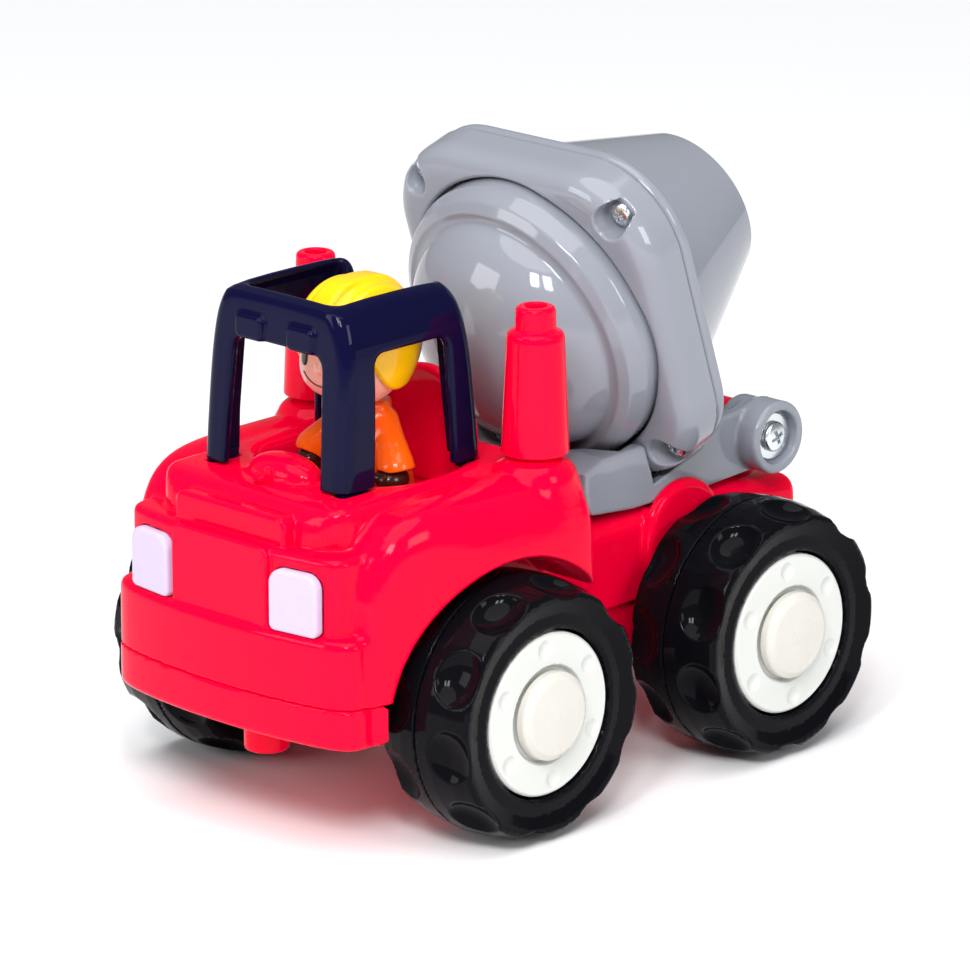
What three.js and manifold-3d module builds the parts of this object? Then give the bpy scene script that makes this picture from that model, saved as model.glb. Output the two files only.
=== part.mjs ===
// Toy concrete mixer truck: cab with an open roll cage, a driver that is pressed down to wind the
// drive, a tipping bed and a drum that turns in a square frame.
// Millimetres, +Z up, the truck faces -Y, its left side is +X. Inside the truck group y = 0 lies
// midway between the axles, and z = 0 is the floor under the tyres.
import * as THREE from "three";
import { mergeVertices } from "three/addons/utils/BufferGeometryUtils.js";
import Module from "manifold-3d";

const wasm = await Module();
wasm.setup();

// ---------------------------------------------------------------- driving dimensions
const GAP = 0.3; // play left between pieces that touch
const WALL = 2.4; // wall of the moulded shells
const FRONT_END = -75;
const REAR_END = 63;

const WHEEL = { radius: 25, base: 67.3, inner: 25, seam: 35.6, outer: 47.2, sides: 22 };
const AXLE = { z: 25, radius: 1.5, half: 43.6 };
const FRONT_AXLE_Y = -WHEEL.base / 2;
const REAR_AXLE_Y = WHEEL.base / 2;
const HUB = { disc: 15.6, cap: 8.6, face: 46.1, capFace: 48.9 };

const SEAM_Z = 30.4; // where the pan meets the bodies above it
const CORE = 22.5; // half width of the chassis between the wheels
const ARCH = { radius: 28, inner: 23.6 };
const DECK = { z: 66.8, half: 22.8 };
const CAB_BACK = -12;
const BUMPER = { half: 31.5, top: 43.7 };
const WELL = { floor: 50.2, centre: -35.5, half: 16.3, front: 14.2, back: 15.6 };
const SEAT = { front: -19.6, back: -17, half: 12.5, top: 80.4 };

const CAGE = {
  foot: { z: 66.9, front: -59.9, back: -22.4 },
  top: { z: 102, back: -28.6 },
  windowTop: 91.6,
};
const STACK = { x: 28.9, y: -19.4, foot: 69.3, top: 97.2, turret: 8.1 };

const DRIVER = { y: -35, head: -37.4, base: 57, post: -32.4 };
const RACK = { module: 0.8, teeth: 6, depth: 5.6, half: 2.1, bottom: 34 };
const GEAR = {
  wind: { y: -25.5, z: 38, teeth: 20, module: 0.7 },
  pinion: { teeth: 10, module: 0.8 },
  swing: { y: -24.62, z: 27.89, teeth: 9, module: 0.7 },
  axle: { teeth: 10, module: 0.7 },
  low: 3.2,
  high: 5.7,
};
const BOX = { half: 9, front: -40.6, back: -14.9, bottom: 21, top: 47.6, wall: 1.6 };

const TILT = { y: 51.4, z: 56.6, boss: 7.25, face: 27.1, bush: 16.2, lug: [9.4, 15.6] };
const BED = { half: 22.2, wall: 2.4, bottom: 48.9, front: 1.5, top: 60.2, rise: 2.4 };
const FRAME = {
  tilt: THREE.MathUtils.degToRad(18.4),
  y: 11.2,
  z: 83.5,
  half: 33,
  corner: 18,
  seam: 10.6,
  back: 13.6,
  bore: 29.9,
  screw: 25.5,
};
const DRUM = { collar: 31.2, collarFront: 5, collarBack: 9, joint: 7, mouth: 45.7, lip: 15.9, wall: 1.8 };

// ---------------------------------------------------------------- materials
function plastic(color, roughness = 0.22) {
  return new THREE.MeshStandardMaterial({ color, roughness, metalness: 0 });
}
function metal(color, roughness = 0.28) {
  return new THREE.MeshStandardMaterial({ color, roughness, metalness: 1 });
}
const RED = () => plastic(0xf00a32);
const GREY = () => plastic(0x9fa4ab);
const NAVY = () => plastic(0x12122f, 0.16);
const BLACK = () => plastic(0x0d0e12, 0.2);
const WHITE = () => plastic(0xe6e7df, 0.42);
const LENS = () => plastic(0xe9defa, 0.3);
const NATURAL = () => plastic(0xe8e4d8, 0.45);
const STEEL = () => metal(0xb8bdc4);

// ---------------------------------------------------------------- geometry helpers
const truck = new THREE.Group();
truck.position.y = -(FRONT_END + REAR_END) / 2;

// A closed three.js geometry as a manifold-3d solid with its faces turned outwards.
function solid(geometry) {
  const bare = new THREE.BufferGeometry();
  bare.setAttribute("position", geometry.getAttribute("position"));
  if (geometry.index) bare.setIndex(geometry.index);
  const merged = mergeVertices(bare, 1e-4);
  const corners = merged.index.array;
  const kept = [];
  for (let i = 0; i < corners.length; i += 3) {
    const [a, b, c] = corners.slice(i, i + 3);
    if (a !== b && b !== c && c !== a) kept.push(a, b, c);
  }
  const build = (triVerts) => {
    const vertProperties = merged.attributes.position.array;
    return new wasm.Manifold(new wasm.Mesh({ numProp: 3, vertProperties, triVerts }));
  };
  const made = build(new Uint32Array(kept));
  if (made.volume() > 0) return made;
  for (let i = 0; i < kept.length; i += 3) [kept[i + 1], kept[i + 2]] = [kept[i + 2], kept[i + 1]];
  return build(new Uint32Array(kept));
}

function join(...pieces) {
  return pieces.reduce((sum, piece) => sum.add(piece));
}

function cut(body, ...tools) {
  return tools.reduce((left, tool) => left.subtract(tool), body);
}

function geometryOf(made) {
  const mesh = made.getMesh();
  const geometry = new THREE.BufferGeometry();
  const points = new Float32Array(mesh.numVert * 3);
  for (let i = 0; i < mesh.numVert; i += 1) {
    points.set(mesh.vertProperties.subarray(i * mesh.numProp, i * mesh.numProp + 3), i * 3);
  }
  geometry.setAttribute("position", new THREE.BufferAttribute(points, 3));
  geometry.setIndex(new THREE.BufferAttribute(mesh.triVerts, 1));
  geometry.computeVertexNormals();
  return geometry;
}

function place(name, made, material, parent = truck) {
  const mesh = new THREE.Mesh(geometryOf(made), material);
  mesh.name = name;
  parent.add(mesh);
  return mesh;
}

// The side of a truck piece: +1 is the truck's left, -1 its right.
const SIDES = [
  ["left", 1],
  ["right", -1],
];

function mirrored(points) {
  const other = points.filter(([x]) => x !== 0).map(([x, y]) => [-x, y]);
  return [...points, ...other.reverse()];
}

function shapeOf(points, holes = []) {
  const shape = new THREE.Shape(points.map(([x, y]) => new THREE.Vector2(x, y)));
  shape.holes = holes.map((ring) => new THREE.Path(ring.map(([x, y]) => new THREE.Vector2(x, y))));
  return shape;
}

function extruded(points, depth, holes) {
  return new THREE.ExtrudeGeometry(shapeOf(points, holes), { depth, bevelEnabled: false });
}

// Outlines given in (y, z), (x, z) or (x, y), swept between two stations on the third axis.
function alongX(points, low, high, holes) {
  const turn = new THREE.Matrix4().set(0, 0, 1, low, 1, 0, 0, 0, 0, 1, 0, 0, 0, 0, 0, 1);
  return solid(extruded(points, high - low, holes).applyMatrix4(turn));
}

function alongY(points, low, high, holes) {
  const turn = new THREE.Matrix4().set(1, 0, 0, 0, 0, 0, -1, high, 0, 1, 0, 0, 0, 0, 0, 1);
  return solid(extruded(points, high - low, holes).applyMatrix4(turn));
}

function alongZ(points, low, high, holes) {
  return solid(extruded(points, high - low, holes).translate(0, 0, low));
}

function box(x0, x1, y0, y1, z0, z1) {
  const geometry = new THREE.BoxGeometry(x1 - x0, y1 - y0, z1 - z0);
  return solid(geometry.translate((x0 + x1) / 2, (y0 + y1) / 2, (z0 + z1) / 2));
}

function circle(u, v, radius, sides = 24) {
  return Array.from({ length: sides }, (_, i) => {
    const angle = (i / sides) * 2 * Math.PI;
    return [u + radius * Math.cos(angle), v + radius * Math.sin(angle)];
  });
}

// A rounded rectangle about (u, v), with each corner an arc of the same radius.
function roundedBox(u, v, halfU, halfV, radius, steps = 4) {
  const centres = [
    [halfU - radius, halfV - radius],
    [radius - halfU, halfV - radius],
    [radius - halfU, radius - halfV],
    [halfU - radius, radius - halfV],
  ];
  return centres.flatMap(([cu, cv], corner) =>
    Array.from({ length: steps + 1 }, (_, i) => {
      const angle = ((corner + i / steps) * Math.PI) / 2;
      return [u + cu + radius * Math.cos(angle), v + cv + radius * Math.sin(angle)];
    }),
  );
}

// A keyhole open at the top: half a circle with straight sides up to a height.
function openSlot(u, v, radius, high) {
  const arc = Array.from({ length: 7 }, (_, i) => {
    const angle = Math.PI * (1 + i / 6);
    return [u + radius * Math.cos(angle), v + radius * Math.sin(angle)];
  });
  return [...arc, [u + radius, high], [u - radius, high]];
}

// Rings of equal point count joined into one closed skin, with a fan over each end.
function loft(rings) {
  const count = rings[0].length;
  const points = rings.flat();
  const triangles = [];
  for (let r = 0; r + 1 < rings.length; r += 1) {
    for (let i = 0; i < count; i += 1) {
      const a = r * count + i;
      const b = r * count + ((i + 1) % count);
      triangles.push(a, b, a + count, b, b + count, a + count);
    }
  }
  const last = (rings.length - 1) * count;
  for (let i = 1; i + 1 < count; i += 1) {
    triangles.push(0, i + 1, i);
    triangles.push(last, last + i, last + i + 1);
  }
  const geometry = new THREE.BufferGeometry();
  geometry.setAttribute("position", new THREE.Float32BufferAttribute(points.flat(), 3));
  geometry.setIndex(triangles);
  return solid(geometry);
}

// A profile of [radius, height] turned about an upright axis; a profile off the axis is closed.
function turned(profile, sides = 24) {
  const onAxis = profile[0][0] === 0 && profile.at(-1)[0] === 0;
  const points = onAxis ? profile : [...profile, profile[0]];
  return new THREE.LatheGeometry(
    points.map(([r, h]) => new THREE.Vector2(r, h)),
    sides,
  );
}

// The lathe's own axis (three.js Y) laid along truck X, Y or Z.
function turnedX(profile, y, z, side = 1, sides = 24) {
  const geometry = turned(profile, sides).rotateZ((-Math.PI / 2) * side);
  return solid(geometry.translate(0, y, z));
}

function turnedZ(profile, x, y, sides = 24) {
  return solid(turned(profile, sides).rotateX(Math.PI / 2).translate(x, y, 0));
}

// Everything on the drum's axis is drawn in frame coordinates: x across, y along the axis towards
// the drum's mouth, z up the face of the frame.
function turnedDrum(profile, sides) {
  return solid(turned(profile, sides));
}

// ---------------------------------------------------------------- wheels and axles
function tyreHalves() {
  const { radius, inner, seam, outer } = WHEEL;
  const seat = HUB.disc + 0.5;
  const innerHalf = [
    [1.7, inner + 2.8],
    [seat, inner + 2.8],
    [18.5, inner],
    [22, inner],
    [24.4, inner + 3],
    [radius - 0.1, seam - GAP / 2],
    [23, seam - GAP / 2],
    [4.4, inner + 5.4],
    [4.4, seam - GAP / 2],
    [1.7, seam - GAP / 2],
  ];
  const outerHalf = [
    [1.7, seam + GAP / 2],
    [4.4, seam + GAP / 2],
    [4.4, HUB.face - 4.2],
    [19.8, HUB.face - 4.2],
    [23, seam + GAP / 2],
    [radius, seam + GAP / 2],
    [24.6, seam + 7],
    [22.9, outer],
    [20.8, outer],
    [seat, HUB.face - 0.7],
    [seat, HUB.face - 2.2],
    [1.7, HUB.face - 2.2],
  ];
  return { innerHalf, outerHalf };
}

function wheel(end, y, side, sideName) {
  const { innerHalf, outerHalf } = tyreHalves();
  const disc = [
    [AXLE.radius + 0.3, HUB.face - 1.9],
    [HUB.disc, HUB.face - 1.9],
    [HUB.disc, HUB.face],
    [HUB.cap + 0.8, HUB.face],
    [HUB.cap + 0.8, HUB.face - 0.6],
    [AXLE.radius + 0.3, HUB.face - 0.6],
  ];
  const cap = [
    [0, HUB.face - 0.3],
    [HUB.cap, HUB.face - 0.3],
    [HUB.cap, HUB.face + 1.4],
    [HUB.cap - 1.6, HUB.capFace - 0.4],
    [0, HUB.capFace],
  ];
  const label = (piece) => `${piece}_${end}_${sideName}`;
  const spin = (profile, sides) => turnedX(profile, y, AXLE.z, side, sides);
  place(label("tyre_inner"), spin(innerHalf, WHEEL.sides), BLACK());
  place(label("tyre_outer"), spin(outerHalf, WHEEL.sides), BLACK());
  place(label("hub_disc"), spin(disc, 20), WHITE());
  place(label("hub_cap"), spin(cap, 16), plastic(0xe9e5da, 0.4));
}

function axle(name, y) {
  const rod = [
    [0, -AXLE.half],
    [AXLE.radius, -AXLE.half],
    [AXLE.radius, AXLE.half],
    [0, AXLE.half],
  ];
  place(name, turnedX(rod, y, AXLE.z, 1, 12), STEEL());
}

function wheels() {
  for (const [end, y] of [
    ["front", FRONT_AXLE_Y],
    ["rear", REAR_AXLE_Y],
  ]) {
    axle(`${end}_axle`, y);
    for (const [sideName, side] of SIDES) wheel(end, y, side, sideName);
  }
}

// ---------------------------------------------------------------- fasteners
// A pan-head screw pointing down its own axis: head radius, head height, shank radius, length.
function screwProfile(head, height, shank, length) {
  return [
    [0, -length],
    [shank, 1 - length],
    [shank, 0],
    [head, 0],
    [head, height * 0.6],
    [head * 0.6, height],
    [0, height],
  ];
}

// ---------------------------------------------------------------- cab
const bumperPlan = mirrored([
  [0, FRONT_END],
  [14, -74.3],
  [25, -72.4],
  [29.4, -70.6],
  [BUMPER.half, -67.4],
  [BUMPER.half, -62.4],
  [0, -62.4],
]);

const fenderPlan = mirrored([
  [0, -66],
  [24, -66],
  [29.4, -66],
  [31.5, -62],
  [34, -57],
  [36.6, -47],
  [38.8, -37],
  [39.8, -27],
  [39.6, -18],
  [37.2, CAB_BACK + 0.6],
  [35.5, CAB_BACK],
  [0, CAB_BACK],
]);

function cabOuter() {
  const low = SEAM_Z + GAP;
  const bumper = alongZ(bumperPlan, low, BUMPER.top);
  const lampPlan = mirrored([
    [0, -72.4],
    [13, -72.1],
    [23.5, -70.7],
    [26.6, -69],
    [28, -66],
    [28, -56],
    [0, -56],
  ]);
  const lampBlock = alongZ(lampPlan, BUMPER.top - 3, 58.3);
  const grille = alongZ(roundedBox(0, -60, 12.6, 13.2, 1), BUMPER.top - 3, 58.3);
  const step = alongZ(roundedBox(0, -60, 14.6, 10.6, 1.5), 50, 64);
  const hoodSide = [
    [-68.6, 40],
    [-68.6, 62.4],
    [-67.4, 65],
    [-65, 66.4],
    [-61, DECK.z],
    [CAB_BACK, DECK.z],
    [CAB_BACK, 40],
  ];
  const hoodFront = mirrored([
    [0, 40],
    [25.4, 40],
    [25.2, 59],
    [24, 63],
    [21.6, 65.9],
    [DECK.half - 4, DECK.z],
    [0, DECK.z],
  ]);
  const hoodPlan = mirrored([
    [0, -68.6],
    [15, -68.4],
    [21, -66.4],
    [24.6, -62.6],
    [25.4, -58],
    [25.4, CAB_BACK],
    [0, CAB_BACK],
  ]);
  const hood = alongX(hoodSide, -26, 26)
    .intersect(alongY(hoodFront, -70, CAB_BACK))
    .intersect(alongZ(hoodPlan, 40, 70));
  const crest = [
    [-66, low],
    [-65.6, 48],
    [-64.2, 54.6],
    [-61, 60],
    [-56, 63.6],
    [-50, 65.6],
    [-42, 66.6],
    [-34, DECK.z],
    [CAB_BACK, DECK.z],
    [CAB_BACK, low],
  ];
  const fenderFront = mirrored([
    [0, low],
    [40, low],
    [40, 52],
    [39, 56.6],
    [36.6, 61.4],
    [33, 65],
    [29.6, 66.4],
    [24, 66],
    [0, 66],
  ]);
  const fender = alongX(crest, -41, 41)
    .intersect(alongY(fenderFront, -67, CAB_BACK))
    .intersect(alongZ(fenderPlan, low, 68));
  const turret = [
    [0, 55],
    [STACK.turret, 55],
    [STACK.turret, 66.6],
    [STACK.turret - 0.9, 68.2],
    [STACK.turret - 2, STACK.foot - 0.4],
    [0, STACK.foot - 0.4],
  ];
  const turrets = SIDES.map(([, side]) => turnedZ(turret, side * STACK.x, STACK.y, 16));
  return join(bumper, lampBlock, grille, step, hood, fender, ...turrets);
}

function wellOutline(grow) {
  const half = WELL.half + grow;
  const side = [
    [0, WELL.centre - WELL.front - grow],
    [half * 0.6, WELL.centre - WELL.front * 0.93 - grow],
    [half * 0.92, WELL.centre - WELL.front * 0.62],
    [half, WELL.centre - WELL.front * 0.2],
    [half * 0.97, WELL.centre + WELL.back * 0.2],
    [half * 0.8, WELL.centre + WELL.back * 0.62],
    [half * 0.6, WELL.centre + WELL.back * 0.9],
    [half * 0.3, WELL.centre + WELL.back + grow],
    [0, WELL.centre + WELL.back + grow],
  ];
  return mirrored(side);
}

function cabShell() {
  const low = SEAM_Z;
  const frontY = FRONT_AXLE_Y;
  const bumperRoom = alongZ(
    mirrored([
      [0, FRONT_END + WALL],
      [25, -69.6],
      [BUMPER.half - WALL, -67],
      [BUMPER.half - WALL, -62.4 - WALL],
      [0, -62.4 - WALL],
    ]),
    low,
    BUMPER.top - WALL,
  );
  const coreSide = [
    [-66, low],
    [-66, 60],
    [-63, DECK.z - WALL - 0.6],
    [-58, DECK.z - WALL],
    [CAB_BACK - WALL, DECK.z - WALL],
    [CAB_BACK - WALL, low],
  ];
  const coreRoom = alongX(coreSide, -ARCH.inner + WALL, ARCH.inner - WALL);
  const fenderSide = [
    [-58, 40],
    [-58, 57],
    [-54, 60.6],
    [-48, 63],
    [-40, 64.2],
    [CAB_BACK - WALL, 64.4],
    [CAB_BACK - WALL, 40],
  ];
  const fenderFront = [
    [ARCH.inner, 40],
    [33.4, 40],
    [36.8, 50],
    [36.2, 55.4],
    [33, 60.4],
    [29, 63.6],
    [ARCH.inner, 63.4],
  ];
  const rooms = SIDES.map(([, side]) => {
    const front = fenderFront.map(([x, z]) => [x * side, z]);
    const room = alongX(fenderSide, ...(side > 0 ? [ARCH.inner, 38] : [-38, -ARCH.inner]));
    return room
      .intersect(alongY(side > 0 ? front : front.reverse(), -60, CAB_BACK))
      .intersect(alongZ(fenderPlan.map(([x, y]) => [x * 0.93, y]), 39, 66));
  });
  const arches = SIDES.map(([, side]) => {
    const ends = side > 0 ? [ARCH.inner, 42] : [-42, -ARCH.inner];
    return alongX(circle(frontY, AXLE.z, ARCH.radius, 36), ...ends);
  });
  const well = alongZ(wellOutline(0), WELL.floor, DECK.z + 2);
  const cup = alongZ(wellOutline(WALL), WELL.floor - WALL + 0.3, DECK.z - 1);
  const drop = alongZ(roundedBox(0, DRIVER.post, 7, 7, 3), 40, WELL.floor + 1);
  const seatArc = Array.from({ length: 11 }, (_, i) => {
    const angle = (i / 10) * Math.PI;
    return [SEAT.half * Math.cos(angle), SEAT.top - SEAT.half + SEAT.half * Math.sin(angle)];
  });
  const seat = alongY([...seatArc, [-SEAT.half, 60], [SEAT.half, 60]], SEAT.front, SEAT.back);
  const bump = solid(new THREE.SphereGeometry(1, 12, 6).scale(8.4, 4.6, 4.4).translate(0, -55.8, 68));
  const screwPost = turnedZ(
    [
      [1.7, SEAM_Z + GAP],
      [4.2, SEAM_Z + GAP],
      [4.2, 63.6],
      [1.7, 63.6],
    ],
    0,
    -61.5,
    12,
  );
  const sockets = SIDES.map(([, side]) => {
    const x = side * STACK.x;
    return alongZ(circle(x, STACK.y, 2.3, 12), 60, STACK.foot + 1);
  });
  const slots = cagePostSockets();
  const hollow = cut(cabOuter(), bumperRoom, coreRoom, ...rooms, ...arches);
  const filled = join(hollow, cup.intersect(box(-30, 30, -60, CAB_BACK, 40, DECK.z)), seat, bump);
  const lit = cut(filled, well, drop, ...sockets, ...slots, ...lampRecesses());
  return join(lit, screwPost);
}

// Where the cage's four feet plug into the deck.
function cagePostSockets() {
  return SIDES.flatMap(([, side]) => {
    const xs = (a, b) => (side > 0 ? [a, b] : [-b, -a]);
    const front = box(...xs(15.4, 18.4), -59.2, -52, 63, DECK.z + 1);
    const back = box(...xs(12, 17.6), -25.4, -22.8, 63, DECK.z + 1);
    return [front, back];
  });
}

function lampPlates() {
  return SIDES.map(([, side]) => {
    const face = roundedBox(18.9 * side, 49.6, 5.6, 5.9, 2);
    const plate = alongY(face, -75, -69.6);
    const skin = alongZ(
      mirrored([
        [0, -73.2],
        [13, -72.9],
        [25, -71.2],
        [26, -60],
        [0, -60],
      ]),
      40,
      60,
    );
    return plate.intersect(skin);
  });
}

function lampRecesses() {
  return SIDES.map(([, side]) => {
    const face = roundedBox(18.9 * side, 49.6, 5.6 + GAP, 5.9 + GAP, 2);
    return alongY(face, -76, -69.6 + GAP);
  });
}

// ---------------------------------------------------------------- roll cage
// One level of the cage's outline: a rounded box, narrower towards its shoulders, open to the back.
function cageRing(z, half, front, back) {
  return mirrored([
    [0, front],
    [half - 3, front],
    [half - 0.9, front + 0.8],
    [half, front + 2.8],
    [half, back],
    [0, back],
  ]).map(([x, y]) => [x, y, z]);
}

function rollCage() {
  const { foot, top, windowTop } = CAGE;
  const outer = loft([
    cageRing(foot.z + 0.2, 18.8, foot.front, foot.back),
    cageRing(84, 18.5, -58.7, -24),
    cageRing(windowTop, 17.8, -58.2, -24.8),
    cageRing(96.5, 16.6, -57.7, -25.9),
    cageRing(100.4, 14.2, -57.2, -27.1),
    cageRing(top.z, 12.1, -55.6, top.back),
  ]);
  const inner = loft([
    cageRing(foot.z - 1, 17, -58.1, foot.back + 3),
    cageRing(windowTop, 15.6, -56, foot.back + 3),
    cageRing(top.z + 2, 10.3, -53.2, foot.back + 3),
  ]);
  const slope = (foot.back - top.back) / (top.z - foot.z);
  const rise = top.z + 4 - foot.z;
  const flangeSlab = alongX(
    [
      [foot.back + 2, foot.z - 2],
      [foot.back + 2 - slope * rise, foot.z + rise],
      [foot.back - 2.8 - slope * rise, foot.z + rise],
      [foot.back - 2.8, foot.z - 2],
    ],
    -20,
    20,
  );
  const flangeGap = box(-11.4, 11.4, top.back - 6, foot.back + 4, foot.z - 3, top.z + 6);
  const room = cut(inner, cut(flangeSlab, flangeGap));
  const frontWindow = alongY(
    [
      [-12.6, foot.z - 1],
      [12.6, foot.z - 1],
      [11.6, windowTop - 2],
      [9.6, windowTop],
      [-9.6, windowTop],
      [-11.6, windowTop - 2],
    ],
    foot.front - 2,
    foot.front + 9,
  );
  const sideWindow = alongX(
    [
      [-51.1, foot.z - 1],
      [-30.3, foot.z - 1],
      [-31, windowTop - 2.4],
      [-33, windowTop],
      [-48, windowTop],
      [-50.3, windowTop - 2.4],
    ],
    -20,
    20,
  );
  const shell = cut(outer, room, frontWindow, sideWindow);
  const pads = SIDES.map(([, side]) => {
    const pad = roundedBox(6.7 * side, 94, 3.7, 2.4, 1.2, 2);
    return alongY(pad, -59.4, -57.2);
  });
  const feet = SIDES.flatMap(([, side]) => {
    const xs = (a, b) => (side > 0 ? [a, b] : [-b, -a]);
    return [
      box(...xs(15.8, 18.1), -58.9, -52.4, 64.2, foot.z + 1),
      box(...xs(13, 17.2), -25, -23.1, 64.2, foot.z + 1),
    ];
  });
  return join(shell, ...pads, ...feet);
}

// ---------------------------------------------------------------- exhaust stacks
function stackProfile() {
  const { foot, top } = STACK;
  return [
    [0, 61],
    [2, 61],
    [2, foot],
    [6.4, foot],
    [6.1, foot + 4],
    [5.45, top - 5.6],
    [5, top - 4.8],
    [3.9, top - 4.3],
    [3.7, top],
    [2.1, top],
    [1.9, top - 3.4],
    [0, top - 3.4],
  ];
}

// ---------------------------------------------------------------- chassis
function chassisPan() {
  const floor = 18.4;
  const body = join(
    alongZ(bumperPlan, 22.6, SEAM_Z),
    alongX(
      [
        [-64, 23],
        [-50, floor],
        [58, floor],
        [REAR_END - 1, 22],
        [REAR_END - 1, SEAM_Z],
        [-64, SEAM_Z],
      ],
      -CORE + 1.2,
      CORE - 1.2,
    ),
    turnedZ(
      [
        [0, 14.4],
        [4.3, 14.4],
        [4.3, 24],
        [0, 24],
      ],
      0,
      -61.5,
      20,
    ),
  );
  const noseRoom = alongZ(
    mirrored([
      [0, FRONT_END + WALL],
      [25, -69.6],
      [BUMPER.half - WALL, -67],
      [BUMPER.half - WALL, -62.4 - WALL],
      [0, -62.4 - WALL],
    ]),
    24.6,
    SEAM_Z + 1,
  );
  const room = box(-CORE + 3.4, CORE - 3.4, -52, REAR_END - 3.2, floor + 2, SEAM_Z + 1);
  const saddles = [FRONT_AXLE_Y, REAR_AXLE_Y].map((y) =>
    alongX(openSlot(y, AXLE.z, AXLE.radius + 0.25, SEAM_Z + 1), -CORE - 1, CORE + 1),
  );
  const post = (x, y, low, high) => turnedZ([[0, low], [3.4, low], [3.4, high], [0, high]], x, y, 10);
  const posts = [
    post(0, -61.5, 20, SEAM_Z),
    post(14, 52, floor + 1, SEAM_Z),
    post(-14, 52, floor + 1, SEAM_Z),
    post(0, -44.6, floor + 1, 23.6),
    post(0, -11, floor + 1, 23.6),
  ];
  const bores = [
    join(
      alongZ(circle(0, -61.5, 1.75, 10), 12, SEAM_Z + 1),
      alongZ(circle(0, -61.5, 2.9, 10), 12, 17.6),
    ),
    ...[14, -14].map((x) =>
      join(
        alongZ(circle(x, 52, 1.75, 10), 12, SEAM_Z + 1),
        alongZ(circle(x, 52, 2.9, 10), 12, 21),
      ),
    ),
    ...[-44.6, -11].map((y) => alongZ(circle(0, y, 1.2, 10), floor + 2.6, 25)),
  ];
  const hollow = cut(body, noseRoom, room, ...saddles);
  return cut(join(hollow, ...posts), ...bores);
}

function rearBody() {
  const low = SEAM_Z + GAP;
  const start = CAB_BACK + GAP;
  const top = BED.bottom - 0.7;
  const side = [
    [start, low],
    [REAR_END - 1, low],
    [REAR_END, low + 2],
    [REAR_END, 44.6],
    [REAR_END - 1.4, 46.4],
    [56, 47],
    [46, top],
    [start, top],
  ];
  const roomSide = [
    [start + WALL, low - 1],
    [REAR_END - WALL, low - 1],
    [REAR_END - WALL, 43],
    [55, 44.4],
    [45, top - WALL],
    [start + WALL, top - WALL],
  ];
  const block = alongX(side, -CORE, CORE);
  const room = alongX(roomSide, -CORE + WALL, CORE - WALL);
  const bosses = SIDES.map(([, s]) => {
    const ends = s > 0 ? [CORE - WALL, 24.3] : [-24.3, WALL - CORE];
    return alongX(circle(27.9, 41.6, 11, 28), ...ends);
  });
  const bedRoom = box(-CORE, CORE, start, REAR_END + 1, top, 66);
  const lugs = SIDES.map(([, s]) => {
    const ends = s > 0 ? TILT.lug : [-TILT.lug[1], -TILT.lug[0]];
    const outline = [
      [TILT.y - 5.4, top - 2],
      [TILT.y + 5.4, 45],
      [TILT.y + 5.4, TILT.z],
      ...circle(TILT.y, TILT.z, 5.4, 12).slice(1, 6),
      [TILT.y - 5.4, TILT.z],
    ];
    return alongX(outline, ...ends);
  });
  const pins = SIDES.map(([, s]) => {
    const ends = s > 0 ? [8, 17] : [-17, -8];
    return alongX(circle(TILT.y, TILT.z, 1.75, 10), ...ends);
  });
  const posts = [14, -14].map((x) =>
    turnedZ(
      [
        [1.6, low],
        [3.6, low],
        [3.6, 45],
        [1.6, 45],
      ],
      x,
      52,
      12,
    ),
  );
  const axleRoom = alongX(circle(REAR_AXLE_Y, AXLE.z, 2.4, 12), -CORE - 3, CORE + 3);
  const skin = cut(join(block, ...bosses.map((boss) => boss.subtract(bedRoom))), room, axleRoom);
  return join(cut(join(skin, ...lugs), ...pins), ...posts);
}

// ---------------------------------------------------------------- gears
function involute(angle) {
  return Math.tan(angle) - angle;
}

// Outline of a spur gear with 20 degree flanks; play thins each tooth at the pitch circle.
function gearOutline(teeth, module, turn, play = 0.12, addendum = 0.85) {
  const pressure = THREE.MathUtils.degToRad(20);
  const pitch = (teeth * module) / 2;
  const base = pitch * Math.cos(pressure);
  const tip = pitch + addendum * module;
  const root = pitch - 1.15 * module;
  const halfAt = (radius) => {
    const angle = Math.acos(Math.min(1, base / radius));
    const half = Math.PI / 2 / teeth - play / 2 / pitch + involute(pressure) - involute(angle);
    return Math.max(half, 0.02);
  };
  const start = Math.max(base, root + 0.05);
  const flank = [
    [root, halfAt(start)],
    [pitch, halfAt(pitch)],
    [tip, halfAt(tip)],
  ];
  const points = [];
  for (let tooth = 0; tooth < teeth; tooth += 1) {
    const centre = turn + (tooth / teeth) * 2 * Math.PI;
    for (const [r, half] of flank) points.push([r, centre - half]);
    for (const [r, half] of [...flank].reverse()) points.push([r, centre + half]);
  }
  return points.map(([r, angle]) => [r * Math.cos(angle), r * Math.sin(angle)]);
}

function at(outline, u, v) {
  return outline.map(([a, b]) => [a + u, b + v]);
}

const towards = (from, to) => Math.atan2(to.z - from.z, to.y - from.y);

function rod(y, z, radius, low, high, sides = 14) {
  return alongX(circle(y, z, radius, sides), low, high);
}

function windingGear() {
  const { wind, pinion, low, high } = GEAR;
  const wheelRing = alongX(at(gearOutline(wind.teeth, wind.module, 0), wind.y, wind.z), low, high);
  const small = alongX(
    at(gearOutline(pinion.teeth, pinion.module, Math.PI), wind.y, wind.z),
    -2.2,
    2.2,
  );
  return join(
    wheelRing,
    small,
    rod(wind.y, wind.z, 2.8, 2, low + 0.2),
    rod(wind.y, wind.z, 1.2, GAP - BOX.half, BOX.half - GAP),
  );
}

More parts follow.
